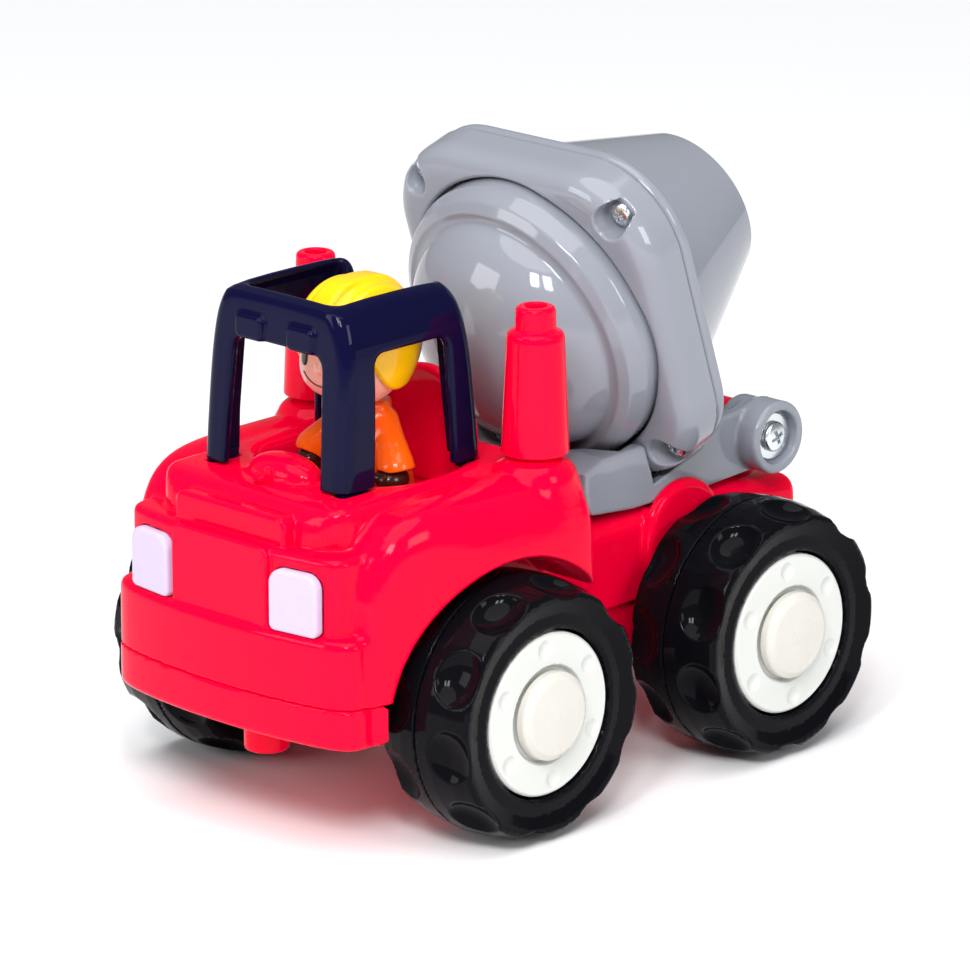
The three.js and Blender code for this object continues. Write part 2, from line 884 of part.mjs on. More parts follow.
// The swing pinion's teeth stand in the gaps of the winding gear it meshes with.
function swingPinion() {
  const { wind, swing, low, high } = GEAR;
  const line = towards(wind, swing);
  const pitchAngle = (2 * Math.PI) / wind.teeth;
  const phase = (((line % pitchAngle) + pitchAngle) % pitchAngle) / pitchAngle;
  const turn = line + Math.PI + ((phase + 0.5) * 2 * Math.PI) / swing.teeth;
  return join(
    alongX(at(gearOutline(swing.teeth, swing.module, turn), swing.y, swing.z), low, high),
    rod(swing.y, swing.z, 1, GAP - BOX.half, BOX.half - GAP),
  );
}

function axleGear() {
  const { axle: gear, low, high } = GEAR;
  const outline = at(gearOutline(gear.teeth, gear.module, 0.1), FRONT_AXLE_Y, AXLE.z);
  const bore = rod(FRONT_AXLE_Y, AXLE.z, AXLE.radius + 0.12, low - 1, high + 1, 20);
  return cut(alongX(outline, low, high), bore);
}

// ---------------------------------------------------------------- press plunger and driver
function rackPlunger() {
  const { wind, pinion } = GEAR;
  const pitchLine = wind.y - (pinion.teeth * pinion.module) / 2;
  const step = Math.PI * RACK.module;
  const slope = Math.tan(THREE.MathUtils.degToRad(20));
  const rootY = pitchLine - 1.15 * RACK.module;
  const tipY = pitchLine + 0.85 * RACK.module;
  const half = (y) => step / 4 - 0.08 - (y - pitchLine) * slope;
  const edge = [];
  for (let i = 0; i < RACK.teeth; i += 1) {
    const z = wind.z + (i - 0.5) * step;
    edge.push([rootY, z - half(rootY)], [tipY, z - half(tipY)]);
    edge.push([tipY, z + half(tipY)], [rootY, z + half(rootY)]);
  }
  const backY = rootY - RACK.depth;
  const outline = [[rootY, RACK.bottom], ...edge, [rootY, DRIVER.base - 0.3], [backY, DRIVER.base - 0.3]];
  const bar = alongX([...outline, [backY, RACK.bottom]], -RACK.half, RACK.half);
  const plate = alongZ(circle(0, DRIVER.post, 6.2, 20), DRIVER.base - 1.9, DRIVER.base - 0.3);
  return join(bar, plate);
}

function returnSpring() {
  const sleeve = [
    [4.5, BOX.top + GAP],
    [5.3, BOX.top + GAP],
    [5.3, DRIVER.base - 2.2],
    [4.5, DRIVER.base - 2.2],
  ];
  return turnedZ(sleeve, 0, DRIVER.post, 16);
}

function driver() {
  const { y, base, head } = DRIVER;
  const ball = (rx, ry, rz, cx, cy, cz, wide = 14, high = 8) =>
    solid(new THREE.SphereGeometry(1, wide, high).scale(rx, ry, rz).translate(cx, cy, cz));
  const ellipse = (rx, ry, cy, z) =>
    circle(0, 0, 1, 14).map(([u, v]) => [u * rx, v * ry + cy, z]);
  const coat = loft([
    ellipse(9.4, 8.6, y + 1, base),
    ellipse(9.2, 8.4, y + 0.6, 63),
    ellipse(7.6, 6.8, y, 69),
    ellipse(5.6, 5.2, y, 75.5),
    ellipse(4.4, 4.4, y, 76.9),
  ]);
  const sleeves = SIDES.map(([, side]) => ball(3.2, 4.2, 5.4, side * 8.6, y - 2, 67.4, 10, 6));
  const hands = SIDES.map(([, side]) => ball(2.7, 3.8, 2.6, side * 10.4, y - 3.2, 62.6, 10, 6));
  const jacket = cut(join(coat, ...sleeves), ...SIDES.map(([, side]) =>
    ball(3, 4.1, 2.9, side * 10.4, y - 3.2, 62.6, 10, 6)));
  const skull = ball(10.6, 11.4, 10.2, 0, head, 87.6);
  const neck = alongZ(circle(0, y - 1, 3.4, 12), 77.9, 82);
  const shell = ball(11.8, 12.4, 11, 0, head + 0.6, 90.9);
  const hatCut = alongX(
    [
      [head - 20, 60],
      [head + 20, 60],
      [head + 20, 82],
      [head + 7, 82],
      [head - 3, 90],
      [head - 9, 92],
      [head - 20, 92],
    ],
    -16,
    16,
  );
  const helmet = cut(shell, hatCut, ball(10.9, 11.7, 10.5, 0, head, 87.6));
  place("driver_body", jacket, plastic(0xff640a, 0.3));
  place("driver_head", join(skull, neck), plastic(0xf4b5a2, 0.35));
  place("driver_helmet", helmet, plastic(0xfacb0a, 0.25));
  SIDES.forEach(([name], i) => place(`driver_hand_${name}`, hands[i], plastic(0x3c1414, 0.3)));
}

// ---------------------------------------------------------------- gearbox housing
function gearboxHalf(side) {
  const { half, front, back, bottom, top, wall } = BOX;
  const xs = (a, b) => (side > 0 ? [a, b] : [-b, -a]);
  const block = box(...xs(GAP / 2, half), front, back, bottom, top);
  const room = box(...xs(-1, half - wall), front + wall, back - wall, bottom + wall, top - wall);
  const shafts = [
    rod(GEAR.wind.y, GEAR.wind.z, 1.35, -half - 1, half + 1, 12),
    rod(GEAR.swing.y, GEAR.swing.z, 1.15, -half - 1, half + 1, 12),
    rod(FRONT_AXLE_Y, AXLE.z, 1.9, -half - 1, half + 1, 12),
  ];
  const gearSlot = box(2.4, 6.5, FRONT_AXLE_Y - 4.6, FRONT_AXLE_Y + 4.6, bottom - 1, bottom + 3);
  const guide = box(-2.5, 2.5, -36.9, -28.3, top - wall - 1, top + 1);
  const lugY = side > 0 ? [back - 0.5, back + 6.4] : [front - 6.4, front + 0.5];
  const screwY = side > 0 ? -11 : -44.6;
  const lug = join(
    box(...xs(GAP / 2, 3.6), ...lugY, 24, 26),
    alongZ(circle(0, screwY, 3.2, 12), 24, 26),
  );
  const clear = alongZ(circle(0, screwY, 1.6, 10), 20, 30);
  return cut(join(cut(block, room, ...shafts, guide, gearSlot), lug), clear);
}

// ---------------------------------------------------------------- tipping bed
function tiltBed() {
  const { half, wall, bottom, front, top, rise } = BED;
  const side = [
    [front + 2.9, bottom],
    [TILT.y - 4, bottom],
    [TILT.y + 1, TILT.z - 5.6],
    [TILT.y + 5.6, TILT.z],
    ...circle(TILT.y, TILT.z, 5.6, 16).slice(1, 5),
    [TILT.y - 6, top + rise],
    [front, top],
    [front, bottom + 4.1],
  ];
  const walls = SIDES.map(([, s]) => {
    const ends = s > 0 ? [half - wall - 0.8, half] : [-half, wall + 0.8 - half];
    return alongX(side, ...ends);
  });
  const rings = SIDES.map(([, s]) => {
    const ends = s > 0 ? [half - 1, TILT.face] : [-TILT.face, 1 - half];
    const bush = s > 0 ? [TILT.bush, half - 0.6] : [0.6 - half, -TILT.bush];
    return join(
      alongX(circle(TILT.y, TILT.z, TILT.boss, 24), ...ends),
      alongX(circle(TILT.y, TILT.z, TILT.boss - 0.4, 20), ...bush),
    );
  });
  const floor = box(-half + 1, half - 1, front + 2.9, 43, bottom, bottom + 2);
  const nose = box(-half + 1, half - 1, front, front + WALL, bottom + 4.1, 57);
  const deck = alongX(
    [
      [front, 57],
      [18, 58],
      [18, 60.4],
      [front, 59.6],
    ],
    -half + 1,
    half - 1,
  );
  const noseFoot = alongX(
    [
      [front + 2.9, bottom],
      [front + 5.4, bottom],
      [front + 2.4, bottom + 4.2],
      [front, bottom + 4.2],
    ],
    -half + 1,
    half - 1,
  );
  const pins = SIDES.map(([, s]) => {
    const through = s > 0 ? [15, 30] : [-30, -15];
    const recess = s > 0 ? [TILT.face - 2.6, 30] : [-30, 2.6 - TILT.face];
    return join(
      alongX(circle(TILT.y, TILT.z, 1.9, 12), ...through),
      alongX(circle(TILT.y, TILT.z, 5.2, 18), ...recess),
    );
  });
  return { walls, rings, floor, nose, deck, noseFoot, pins };
}

function frameOutline(inset, station) {
  return roundedBox(0, 0, FRAME.half - inset, FRAME.half - inset, FRAME.corner - inset, 4).map(
    ([x, w]) => [x, station, w],
  );
}

const frameTurn = new THREE.Matrix4()
  .makeTranslation(0, FRAME.y, FRAME.z)
  .multiply(new THREE.Matrix4().makeRotationX(FRAME.tilt));

function inTruck(made) {
  return solid(geometryOf(made).applyMatrix4(frameTurn));
}

function framePlates() {
  const { seam, back, bore, screw } = FRAME;
  const corners = [
    ["upper_left", screw, screw],
    ["upper_right", -screw, screw],
    ["lower_left", screw, -screw],
    ["lower_right", -screw, -screw],
  ];
  const front = loft([
    frameOutline(3.4, 0),
    frameOutline(1, 1.2),
    frameOutline(0, 4.2),
    frameOutline(0, seam - GAP / 2),
  ]);
  const rear = loft([
    frameOutline(0.2, seam + GAP / 2),
    frameOutline(0.2, back - 1.2),
    frameOutline(1.2, back),
  ]);
  const throat = turnedDrum([[0, -2], [bore, -2], [bore, back + 2], [0, back + 2]], 32);
  const groove = turnedDrum(
    [
      [0, DRUM.collarFront - 0.5],
      [DRUM.collar + 0.35, DRUM.collarFront - 0.5],
      [DRUM.collar + 0.35, seam + 1],
      [0, seam + 1],
    ],
    32,
  );
  const drill = (x, w, radius, low, high, sides = 10) => {
    const tool = turned([[0, low], [radius, low], [radius, high], [0, high]], sides);
    return solid(tool.translate(x, 0, w));
  };
  const fronts = corners.flatMap(([, x, w]) => [
    drill(x, w, 3.25, -1, 5, 14),
    drill(x, w, 1.6, 4, seam + 1),
  ]);
  const backs = corners.map(([, x, w]) => drill(x, w, 1.4, seam - 1, back - 1));
  const feet = [13, -13].map((x) => {
    const tool = turned([[0, 0], [1.3, 0], [1.3, 6], [0, 6]], 12);
    return solid(tool.rotateX(Math.PI / 2).translate(x, 6.6, -FRAME.half - 1));
  });
  return {
    corners,
    front: cut(front, throat, groove, ...fronts, ...feet),
    rear: cut(rear, throat, ...backs),
  };
}

// ---------------------------------------------------------------- drum
function drumFrontProfile() {
  const { collar, collarFront, joint, wall } = DRUM;
  const dome = [];
  const inside = [];
  const steps = 5;
  for (let i = 0; i <= steps; i += 1) {
    const angle = (i / steps) * THREE.MathUtils.degToRad(79.7);
    dome.push([i === 0 ? 0 : 24.9 * Math.sin(angle), -2 - 19 * Math.cos(angle)]);
    inside.push([i === 0 ? 0 : (24.9 - wall) * Math.sin(angle), -2 - (19 - wall) * Math.cos(angle)]);
  }
  return [
    ...dome,
    [27, -6],
    [29.4, -1.6],
    [29.4, collarFront],
    [collar, collarFront],
    [collar, joint - GAP / 2],
    [27.6, joint - GAP / 2],
    [27, -3.4],
    ...inside.reverse(),
  ];
}

function drumRearProfile() {
  const { collar, collarBack, joint, mouth, lip, wall } = DRUM;
  const back = FRAME.back + 0.8;
  return [
    [27.6, joint + GAP / 2],
    [collar, joint + GAP / 2],
    [collar, collarBack],
    [29.4, collarBack],
    [29.4, back],
    [29, back + 1.6],
    [lip, mouth],
    [lip - wall, mouth],
    [27.4, back + 0.6],
  ];
}

// ---------------------------------------------------------------- assembly
function cabAssembly() {
  place("cab_shell", cabShell(), RED());
  place("roll_cage", rollCage(), NAVY());
  const lamps = lampPlates();
  SIDES.forEach(([name, side], i) => {
    place(`headlight_${name}`, lamps[i], LENS());
    const stack = turnedZ(stackProfile(), side * STACK.x, STACK.y, 16);
    place(`stack_${name}`, stack, RED());
  });
  driver();
}

function driveAssembly() {
  place("press_plunger", rackPlunger(), NATURAL());
  place("return_spring", returnSpring(), STEEL());
  place("winding_gear", windingGear(), NATURAL());
  place("swing_pinion", swingPinion(), NATURAL());
  place("axle_gear", axleGear(), NATURAL());
  for (const [name, side] of SIDES) place(`gearbox_${name}`, gearboxHalf(side), WHITE());
}

function chassisAssembly() {
  place("chassis_pan", chassisPan(), RED());
  place("rear_body", rearBody(), RED());
  const chassisScrews = [
    ["chassis_screw_front", 0, -61.5, 17.4, 1.4, 18],
    ["chassis_screw_rear_left", 14, 52, 20.8, 1.35, 16],
    ["chassis_screw_rear_right", -14, 52, 20.8, 1.35, 16],
  ];
  for (const [name, x, y, head, shank, length] of chassisScrews) {
    const profile = screwProfile(2.6, 1.8, shank, length).map(([r, h]) => [r, head - h]);
    place(name, turnedZ(profile, x, y, 10), STEEL());
  }
  for (const [name, y] of [
    ["gearbox_screw_front", -44.6],
    ["gearbox_screw_rear", -11],
  ]) {
    const profile = screwProfile(2.4, 1.5, 1.05, 4.4).map(([r, h]) => [r, 26.2 + h]);
    place(name, turnedZ(profile, 0, y, 10), STEEL());
  }
}

function bedAssembly() {
  const { walls, rings, floor, nose, deck, noseFoot, pins } = tiltBed();
  const plates = framePlates();
  const lowW = -FRAME.half - GAP;
  const seat = inTruck(
    solid(extruded([[0.6, lowW - 12], [13, lowW - 12], [13, lowW], [0.6, lowW]], 29)
      .applyMatrix4(new THREE.Matrix4().set(0, 0, 1, -14.5, 1, 0, 0, 0, 0, 1, 0, 0, 0, 0, 0, 1))),
  ).intersect(box(-15, 15, 10, 50, BED.bottom, 60));
  const frameRoom = inTruck(loft([frameOutline(-0.4, -0.4), frameOutline(-0.4, FRAME.back + 0.4)]));
  const drumRoom = inTruck(
    turnedDrum([[0, -22.4], [13, -19.8], [21, -14.6], [25.8, -8], [30, -5.6], [30, 24], [0, 24]], 32),
  );
  const footBores = [13, -13].map((x) => {
    const bore = turned([[0, -16], [1.55, -16], [1.55, 6], [0, 6]], 10);
    const sink = turned([[0, -16], [2.9, -16], [2.9, -2.4], [0, -2.4]], 10);
    const sunk = join(solid(bore), solid(sink));
    const local = geometryOf(sunk).rotateX(Math.PI / 2).translate(x, 6.6, -FRAME.half);
    return inTruck(solid(local));
  });
  const bed = cut(
    join(...walls, ...rings, floor, nose, deck, noseFoot, seat),
    frameRoom,
    drumRoom,
    ...pins,
    ...footBores,
  );
  place("tilt_bed", bed, GREY());

  for (const [name, side] of SIDES) {
    const head = TILT.face - 1.7;
    const profile = screwProfile(3, 1.5, 1.5, 14.4).map(([r, h]) => [r, head + h]);
    place(`pivot_screw_${name}`, turnedX(profile, TILT.y, TILT.z, side, 14), STEEL());
    const washer = [
      [1.75, TILT.face - 2.3],
      [4.6, TILT.face - 2.3],
      [4.6, TILT.face - 1.9],
      [1.75, TILT.face - 1.9],
    ];
    place(`pivot_washer_${name}`, turnedX(washer, TILT.y, TILT.z, side, 18), STEEL());
  }

  const drumGroup = new THREE.Group();
  drumGroup.position.set(0, FRAME.y, FRAME.z);
  drumGroup.rotation.x = FRAME.tilt;
  truck.add(drumGroup);
  place("frame_front", plates.front, GREY(), drumGroup);
  place("frame_rear", plates.rear, GREY(), drumGroup);
  for (const [name, x, w] of plates.corners) {
    const profile = screwProfile(2.4, 1.5, 1.2, 6.9).map(([r, h]) => [r, 4.8 - h]);
    place(`frame_screw_${name}`, solid(turned(profile, 10).translate(x, 0, w)), STEEL(), drumGroup);
  }
  SIDES.forEach(([name, side]) => {
    const profile = screwProfile(2.4, 1.5, 1.15, 5.8);
    const screw = turned(profile, 10).rotateX(-Math.PI / 2);
    const placed = screw.translate(side * 13, 6.6, -FRAME.half - 2.6);
    place(`frame_foot_screw_${name}`, solid(placed), STEEL(), drumGroup);
  });
  place("drum_front", turnedDrum(drumFrontProfile(), 32), GREY(), drumGroup);
  place("drum_rear", turnedDrum(drumRearProfile(), 32), GREY(), drumGroup);
}

wheels();
cabAssembly();
driveAssembly();
chassisAssembly();
bedAssembly();

const toyMixerTruck = new THREE.Group();
toyMixerTruck.add(truck);

export default toyMixerTruck;
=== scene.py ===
"""Looks of the toy cement mixer: a moulded-plastic truck with a roll cage, a driver, and a drum in a frame.

Shapes are written in millimetres in the truck's own axes: the truck faces -Y, +X is its left side, z = 0 is
the floor and y = 0 lies midway between the axles. Moulded shapes are distance fields turned into meshes, and
turned shapes are profiles with filleted corners.
"""
import math

import bpy
import numpy as np
from mathutils import Matrix, Vector


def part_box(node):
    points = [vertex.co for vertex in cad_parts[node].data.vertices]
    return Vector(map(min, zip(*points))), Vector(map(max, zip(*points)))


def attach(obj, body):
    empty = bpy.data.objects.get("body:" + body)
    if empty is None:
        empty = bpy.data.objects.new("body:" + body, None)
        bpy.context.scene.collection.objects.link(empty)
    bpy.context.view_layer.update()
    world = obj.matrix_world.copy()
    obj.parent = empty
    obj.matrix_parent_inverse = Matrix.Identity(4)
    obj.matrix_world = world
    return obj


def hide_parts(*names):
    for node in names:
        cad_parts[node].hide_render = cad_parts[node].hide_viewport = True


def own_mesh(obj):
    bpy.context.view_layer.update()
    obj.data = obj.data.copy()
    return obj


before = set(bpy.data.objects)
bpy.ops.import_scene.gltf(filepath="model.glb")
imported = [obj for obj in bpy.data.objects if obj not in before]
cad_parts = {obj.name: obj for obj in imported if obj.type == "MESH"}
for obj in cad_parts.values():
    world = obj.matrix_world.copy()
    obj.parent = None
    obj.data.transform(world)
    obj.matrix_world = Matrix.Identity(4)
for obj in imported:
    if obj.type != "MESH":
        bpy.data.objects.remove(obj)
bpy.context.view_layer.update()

MM = 0.001
axle_low, axle_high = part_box("front_axle")
rear_low, rear_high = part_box("rear_axle")
MID_Y = float(axle_low.y + axle_high.y + rear_low.y + rear_high.y) / 4 / MM

AXLE_Y = 33.65
AXLE_Z = 25.0
WALL = 2.2
SEAM_Z = 30.7
CAB_BACK = -12.0
DECK_Z = 66.8
FRAME_Y = 11.2
FRAME_Z = 83.5
FRAME_TILT = math.radians(18.4)
TILT_Y = 51.4
TILT_Z = 56.6
STACK_X = 28.9
STACK_Y = -19.4
HEAD_Y = -37.4
SIDES = (("left", 1), ("right", -1))


# ------------------------------------------------------------------------------------------ distance fields
def union(a, b, k=0.8):
    """The nearer of two fields, with a fillet about as wide as k."""
    h = np.maximum(k - np.abs(a - b), 0) / k
    return np.minimum(a, b) - h * h * k / 4


def common(a, b, k=0.8):
    """What lies in both fields, with its new edge rounded about as wide as k."""
    return -union(-a, -b, k)


def less(a, b, k=0.8):
    """The first field with the second cut out of it."""
    return -union(-a, b, k)


def joined(k, *fields):
    total = fields[0]
    for field in fields[1:]:
        total = union(total, field, k)
    return total


def curve(points, rounds=2):
    """A closed outline with its corners cut again and again, so that it ends up round."""
    p = np.asarray(points, float)
    for _ in range(rounds):
        after = np.roll(p, -1, axis=0)
        p = np.stack([0.75 * p + 0.25 * after, 0.25 * p + 0.75 * after], axis=1).reshape(-1, 2)
    return p


def outline(u, v, points):
    """Signed distance to a closed outline of (u, v) corners."""
    nearest = np.full(np.broadcast(u, v).shape, np.inf)
    sign = np.ones(nearest.shape)
    before = points[-1]
    for corner in points:
        eu, ev = before[0] - corner[0], before[1] - corner[1]
        wu, wv = u - corner[0], v - corner[1]
        t = np.clip((wu * eu + wv * ev) / (eu * eu + ev * ev), 0, 1)
        nearest = np.minimum(nearest, (wu - eu * t) ** 2 + (wv - ev * t) ** 2)
        above = v >= corner[1]
        below = v < before[1]
        left = eu * wv > ev * wu
        sign = np.where((above & below & left) | (~above & ~below & ~left), -sign, sign)
        before = corner
    return sign * np.sqrt(nearest)


def slab(t, low, high):
    """The layer between two values of one coordinate."""
    return np.abs(t - (low + high) / 2) - (high - low) / 2


def disc(u, v, cu, cv, radius):
    """An endless cylinder square to (u, v)."""
    return np.sqrt((u - cu) ** 2 + (v - cv) ** 2) - radius


def rounded_box(u, v, cu, cv, half_u, half_v, radius):
    du = np.abs(u - cu) - half_u + radius
    dv = np.abs(v - cv) - half_v + radius
    outside = np.sqrt(np.maximum(du, 0) ** 2 + np.maximum(dv, 0) ** 2)
    return outside + np.minimum(np.maximum(du, dv), 0) - radius


def ellipsoid(x, y, z, centre, radii):
    dx, dy, dz = ((t - c) / r for t, c, r in zip((x, y, z), centre, radii))
    reach = np.sqrt(dx * dx + dy * dy + dz * dz)
    slope = np.sqrt((dx / radii[0]) ** 2 + (dy / radii[1]) ** 2 + (dz / radii[2]) ** 2)
    return reach * (reach - 1) / np.maximum(slope, 1e-6)


def capsule(x, y, z, a, b, radius_a, radius_b):
    """A rod with round ends from a to b, its radius changing along the way."""
    ax = [q - p for p, q in zip(a, b)]
    length = sum(c * c for c in ax)
    t = sum((s - p) * c for s, p, c in zip((x, y, z), a, ax)) / length
    t = np.clip(t, 0, 1)
    gap = np.sqrt(sum((s - p - t * c) ** 2 for s, p, c in zip((x, y, z), a, ax)))
    return gap - radius_a - (radius_b - radius_a) * t


# ------------------------------------------------------------------------------------------ meshes
def surface(field, low, high, step):
    """Vertices, quads and normals of the zero surface of a field, as a net with one vertex a cell."""
    axes = [np.arange(a - 1.5 * step, b + 2.5 * step, step) for a, b in zip(low, high)]
    grid = np.broadcast_to(
        field(axes[0][:, None, None], axes[1][None, :, None], axes[2][None, None, :]),
        [len(a) for a in axes],
    )
    solid = grid < 0
    shape = np.array(grid.shape) - 1
    corners = [(i, j, k) for i in (0, 1) for j in (0, 1) for k in (0, 1)]
    part = lambda values, c: values[c[0] : c[0] + shape[0], c[1] : c[1] + shape[1], c[2] : c[2] + shape[2]]
    filled = sum(part(solid, c).astype(np.int8) for c in corners)
    active = (filled > 0) & (filled < 8)
    cells = np.argwhere(active)
    number = np.full(active.shape, -1, np.int64)
    number[active] = np.arange(len(cells))
    value = {c: part(grid, c)[active] for c in corners}
    total = np.zeros((len(cells), 3))
    count = np.zeros(len(cells))
    for a in corners:
        for axis in range(3):
            if a[axis]:
                continue
            b = tuple(1 if i == axis else a[i] for i in range(3))
            crosses = (value[a] < 0) != (value[b] < 0)
            t = value[a][crosses] / (value[a][crosses] - value[b][crosses])
            total[crosses] += a
            total[crosses, axis] += t
            count[crosses] += 1
    vertices = (cells + total / count[:, None]) * step + [a[0] for a in axes]
    quads = []
    for axis in range(3):
        u, v = (axis + 1) % 3, (axis + 2) % 3
        take = lambda shift: tuple(
            slice(shift, grid.shape[i] - 1 + shift) if i == axis else slice(1, grid.shape[i] - 1)
            for i in range(3)
        )
        start, end = solid[take(0)], solid[take(1)]
        for which, turned in ((start & ~end, False), (~start & end, True)):
            at = np.argwhere(which)
            at[:, u] += 1
            at[:, v] += 1
            ring = []
            for du, dv in ((-1, -1), (0, -1), (0, 0), (-1, 0)):
                cell = at.copy()
                cell[:, u] += du
                cell[:, v] += dv
                ring.append(number[tuple(cell.T)])
            quads.append(np.stack(ring[::-1] if turned else ring, axis=1))
    quads = np.concatenate(quads)
    for _ in range(2):
        distance, slope = sampled(field, vertices)
        move = np.clip(distance / np.maximum((slope**2).sum(1), 0.05), -step, step)
        vertices -= slope * move[:, None]
    slope = sampled(field, vertices)[1]
    return vertices, quads, slope / np.maximum(np.linalg.norm(slope, axis=1), 1e-9)[:, None]


def sampled(field, points, reach=0.02):
    """A field's value and slope at each point."""
    x, y, z = points.T
    here = field(x, y, z)
    ahead = [field(x + reach, y, z), field(x, y + reach, z), field(x, y, z + reach)]
    return here, (np.stack(ahead, axis=1) - here[:, None]) / reach


def profile(corners, steps=5):
    """Rows of points and outward normals along a (radius, height) outline, each corner (r, h, fillet)."""
    rows = []
    count = len(corners)
    for i, (r, h, fillet) in enumerate(corners):
        here = Vector((r, h))
        a = (Vector(corners[i - 1][:2]) - here).normalized()
        b = (Vector(corners[(i + 1) % count][:2]) - here).normalized()
        if not fillet:
            along = b - a
            rows.append([((r, h), (along.y, -along.x))])
            continue
        half = a.angle(b) / 2
        centre = here + (a + b).normalized() * (fillet / math.sin(half))
        start = here + a * (fillet / math.tan(half)) - centre
        end = here + b * (fillet / math.tan(half)) - centre
        side = 1 if a.x * b.y < a.y * b.x else -1
        arms = [start.lerp(end, j / steps).normalized() for j in range(steps + 1)]
        rows.append([(centre + arm * fillet, arm * side) for arm in arms])
    return rows


def turned(corners, around=96, steps=5):
    """A filleted outline turned about the Z axis. Corners on the axis (r = 0) close the shape there."""
    area = sum(a[0] * b[1] - b[0] * a[1] for a, b in zip(corners, corners[1:] + corners[:1]))
    if area < 0:
        corners = corners[::-1]
    on_axis = corners[0][0] == 0 and corners[-1][0] == 0
    rows = profile(corners, steps)
    if on_axis:
        rows[0] = [(corners[0][:2], (0, -1 if corners[0][1] < corners[-1][1] else 1))]
        rows[-1] = [(corners[-1][:2], (0, 1 if corners[0][1] < corners[-1][1] else -1))]
    points = np.array([tuple(point) for row in rows for point, _ in row])
    normals = np.array([tuple(normal) for row in rows for _, normal in row])
    normals /= np.linalg.norm(normals, axis=1)[:, None]
    angle = np.arange(around) / around * 2 * math.pi
    count = len(points)
    ring = lambda r, h: np.stack(
        [np.outer(r, np.cos(angle)), np.outer(r, np.sin(angle)), np.repeat(h[:, None], around, 1)], axis=2
    )
    vertices = ring(points[:, 0], points[:, 1]).reshape(-1, 3)
    directions = ring(normals[:, 0], normals[:, 1]).reshape(-1, 3)
    i, j = np.meshgrid(np.arange(count - 1 if on_axis else count), np.arange(around), indexing="ij")
    after = (i + 1) % count
    beside = (j + 1) % around
    here, next_row = i * around, after * around
    quads = np.stack([here + j, here + beside, next_row + beside, next_row + j], axis=2)
    return vertices, quads.reshape(-1, 4), directions


def placed(shape, matrix):
    """A shape moved by a 4 by 4 matrix in millimetres."""
    vertices, quads, normals = shape
    m = np.array(matrix)
    turn = m[:3, :3]
    if np.linalg.det(turn) < 0:
        quads = quads[:, ::-1]
    return vertices @ turn.T + m[:3, 3], quads, normals @ turn.T


def piece(name, shape, material, body, slot, nodes=()):
    """A smooth mesh object in the frame's metres that rides on a body and stands for its CAD nodes."""
    vertices, quads, normals = shape
    keep = (quads != np.roll(quads, 1, axis=1)).all(axis=1)
    quads = quads[keep]
    mesh = bpy.data.meshes.new(name)
    mesh.vertices.add(len(vertices))
    mesh.vertices.foreach_set("co", ((vertices + [0, MID_Y, 0]) * MM).astype(np.float32).ravel())
    mesh.loops.add(quads.size)
    mesh.loops.foreach_set("vertex_index", quads.astype(np.int32).ravel())
    mesh.polygons.add(len(quads))
    mesh.polygons.foreach_set("loop_start", np.arange(0, quads.size, 4, dtype=np.int32))
    mesh.update(calc_edges=True)
    mesh.validate()
    mesh.polygons.foreach_set("use_smooth", np.ones(len(mesh.polygons), bool))
    mesh.normals_split_custom_set_from_vertices([tuple(n) for n in normals])
    mesh.materials.append(material)
    obj = bpy.data.objects.new(name, mesh)
    bpy.context.scene.collection.objects.link(obj)
    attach(obj, body)
    if nodes:
        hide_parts(*nodes)
    return obj


# ------------------------------------------------------------------------------------------ materials
def plastic(name, colour, shade, roughness=(0.1, 0.16), grain=0.02, coat=0.1, specular=0.3, bleed=0.0):
    """Moulded plastic: a faint drift of colour, an uneven polish and a very shallow ripple."""
    material = bpy.data.materials.new(name)
    material.use_nodes = True
    nodes, links = material.node_tree.nodes, material.node_tree.links
    shader = nodes["Principled BSDF"]
    place = nodes.new("ShaderNodeTexCoord").outputs["Object"]

    def noise(scale, detail):
        node = nodes.new("ShaderNodeTexNoise")
        node.inputs["Scale"].default_value = scale
        node.inputs["Detail"].default_value = detail
        links.new(place, node.inputs["Vector"])
        return node.outputs["Fac"]

    drift = nodes.new("ShaderNodeMix")
    drift.data_type = "RGBA"
    drift.inputs["A"].default_value = (*colour, 1)
    drift.inputs["B"].default_value = (*shade, 1)
    links.new(noise(38, 2), drift.inputs["Factor"])
    links.new(drift.outputs["Result"], shader.inputs["Base Color"])
    polish = nodes.new("ShaderNodeMapRange")
    polish.inputs["From Min"].default_value = 0.3
    polish.inputs["From Max"].default_value = 0.7
    polish.inputs["To Min"].default_value = roughness[0]
    polish.inputs["To Max"].default_value = roughness[1]
    links.new(noise(160, 4), polish.inputs["Value"])
    links.new(polish.outputs["Result"], shader.inputs["Roughness"])
    ripple = nodes.new("ShaderNodeBump")
    ripple.inputs["Strength"].default_value = grain
    ripple.inputs["Distance"].default_value = 0.0004
    links.new(noise(420, 3), ripple.inputs["Height"])
    links.new(ripple.outputs["Normal"], shader.inputs["Normal"])
    shader.inputs["Coat Weight"].default_value = coat
    shader.inputs["Coat Roughness"].default_value = 0.04
    shader.inputs["Specular IOR Level"].default_value = specular
    if bleed:
        shader.inputs["Subsurface Weight"].default_value = bleed
        shader.inputs["Subsurface Radius"].default_value = (0.004, 0.003, 0.0025)
        shader.inputs["Subsurface Scale"].default_value = 0.6
    return material


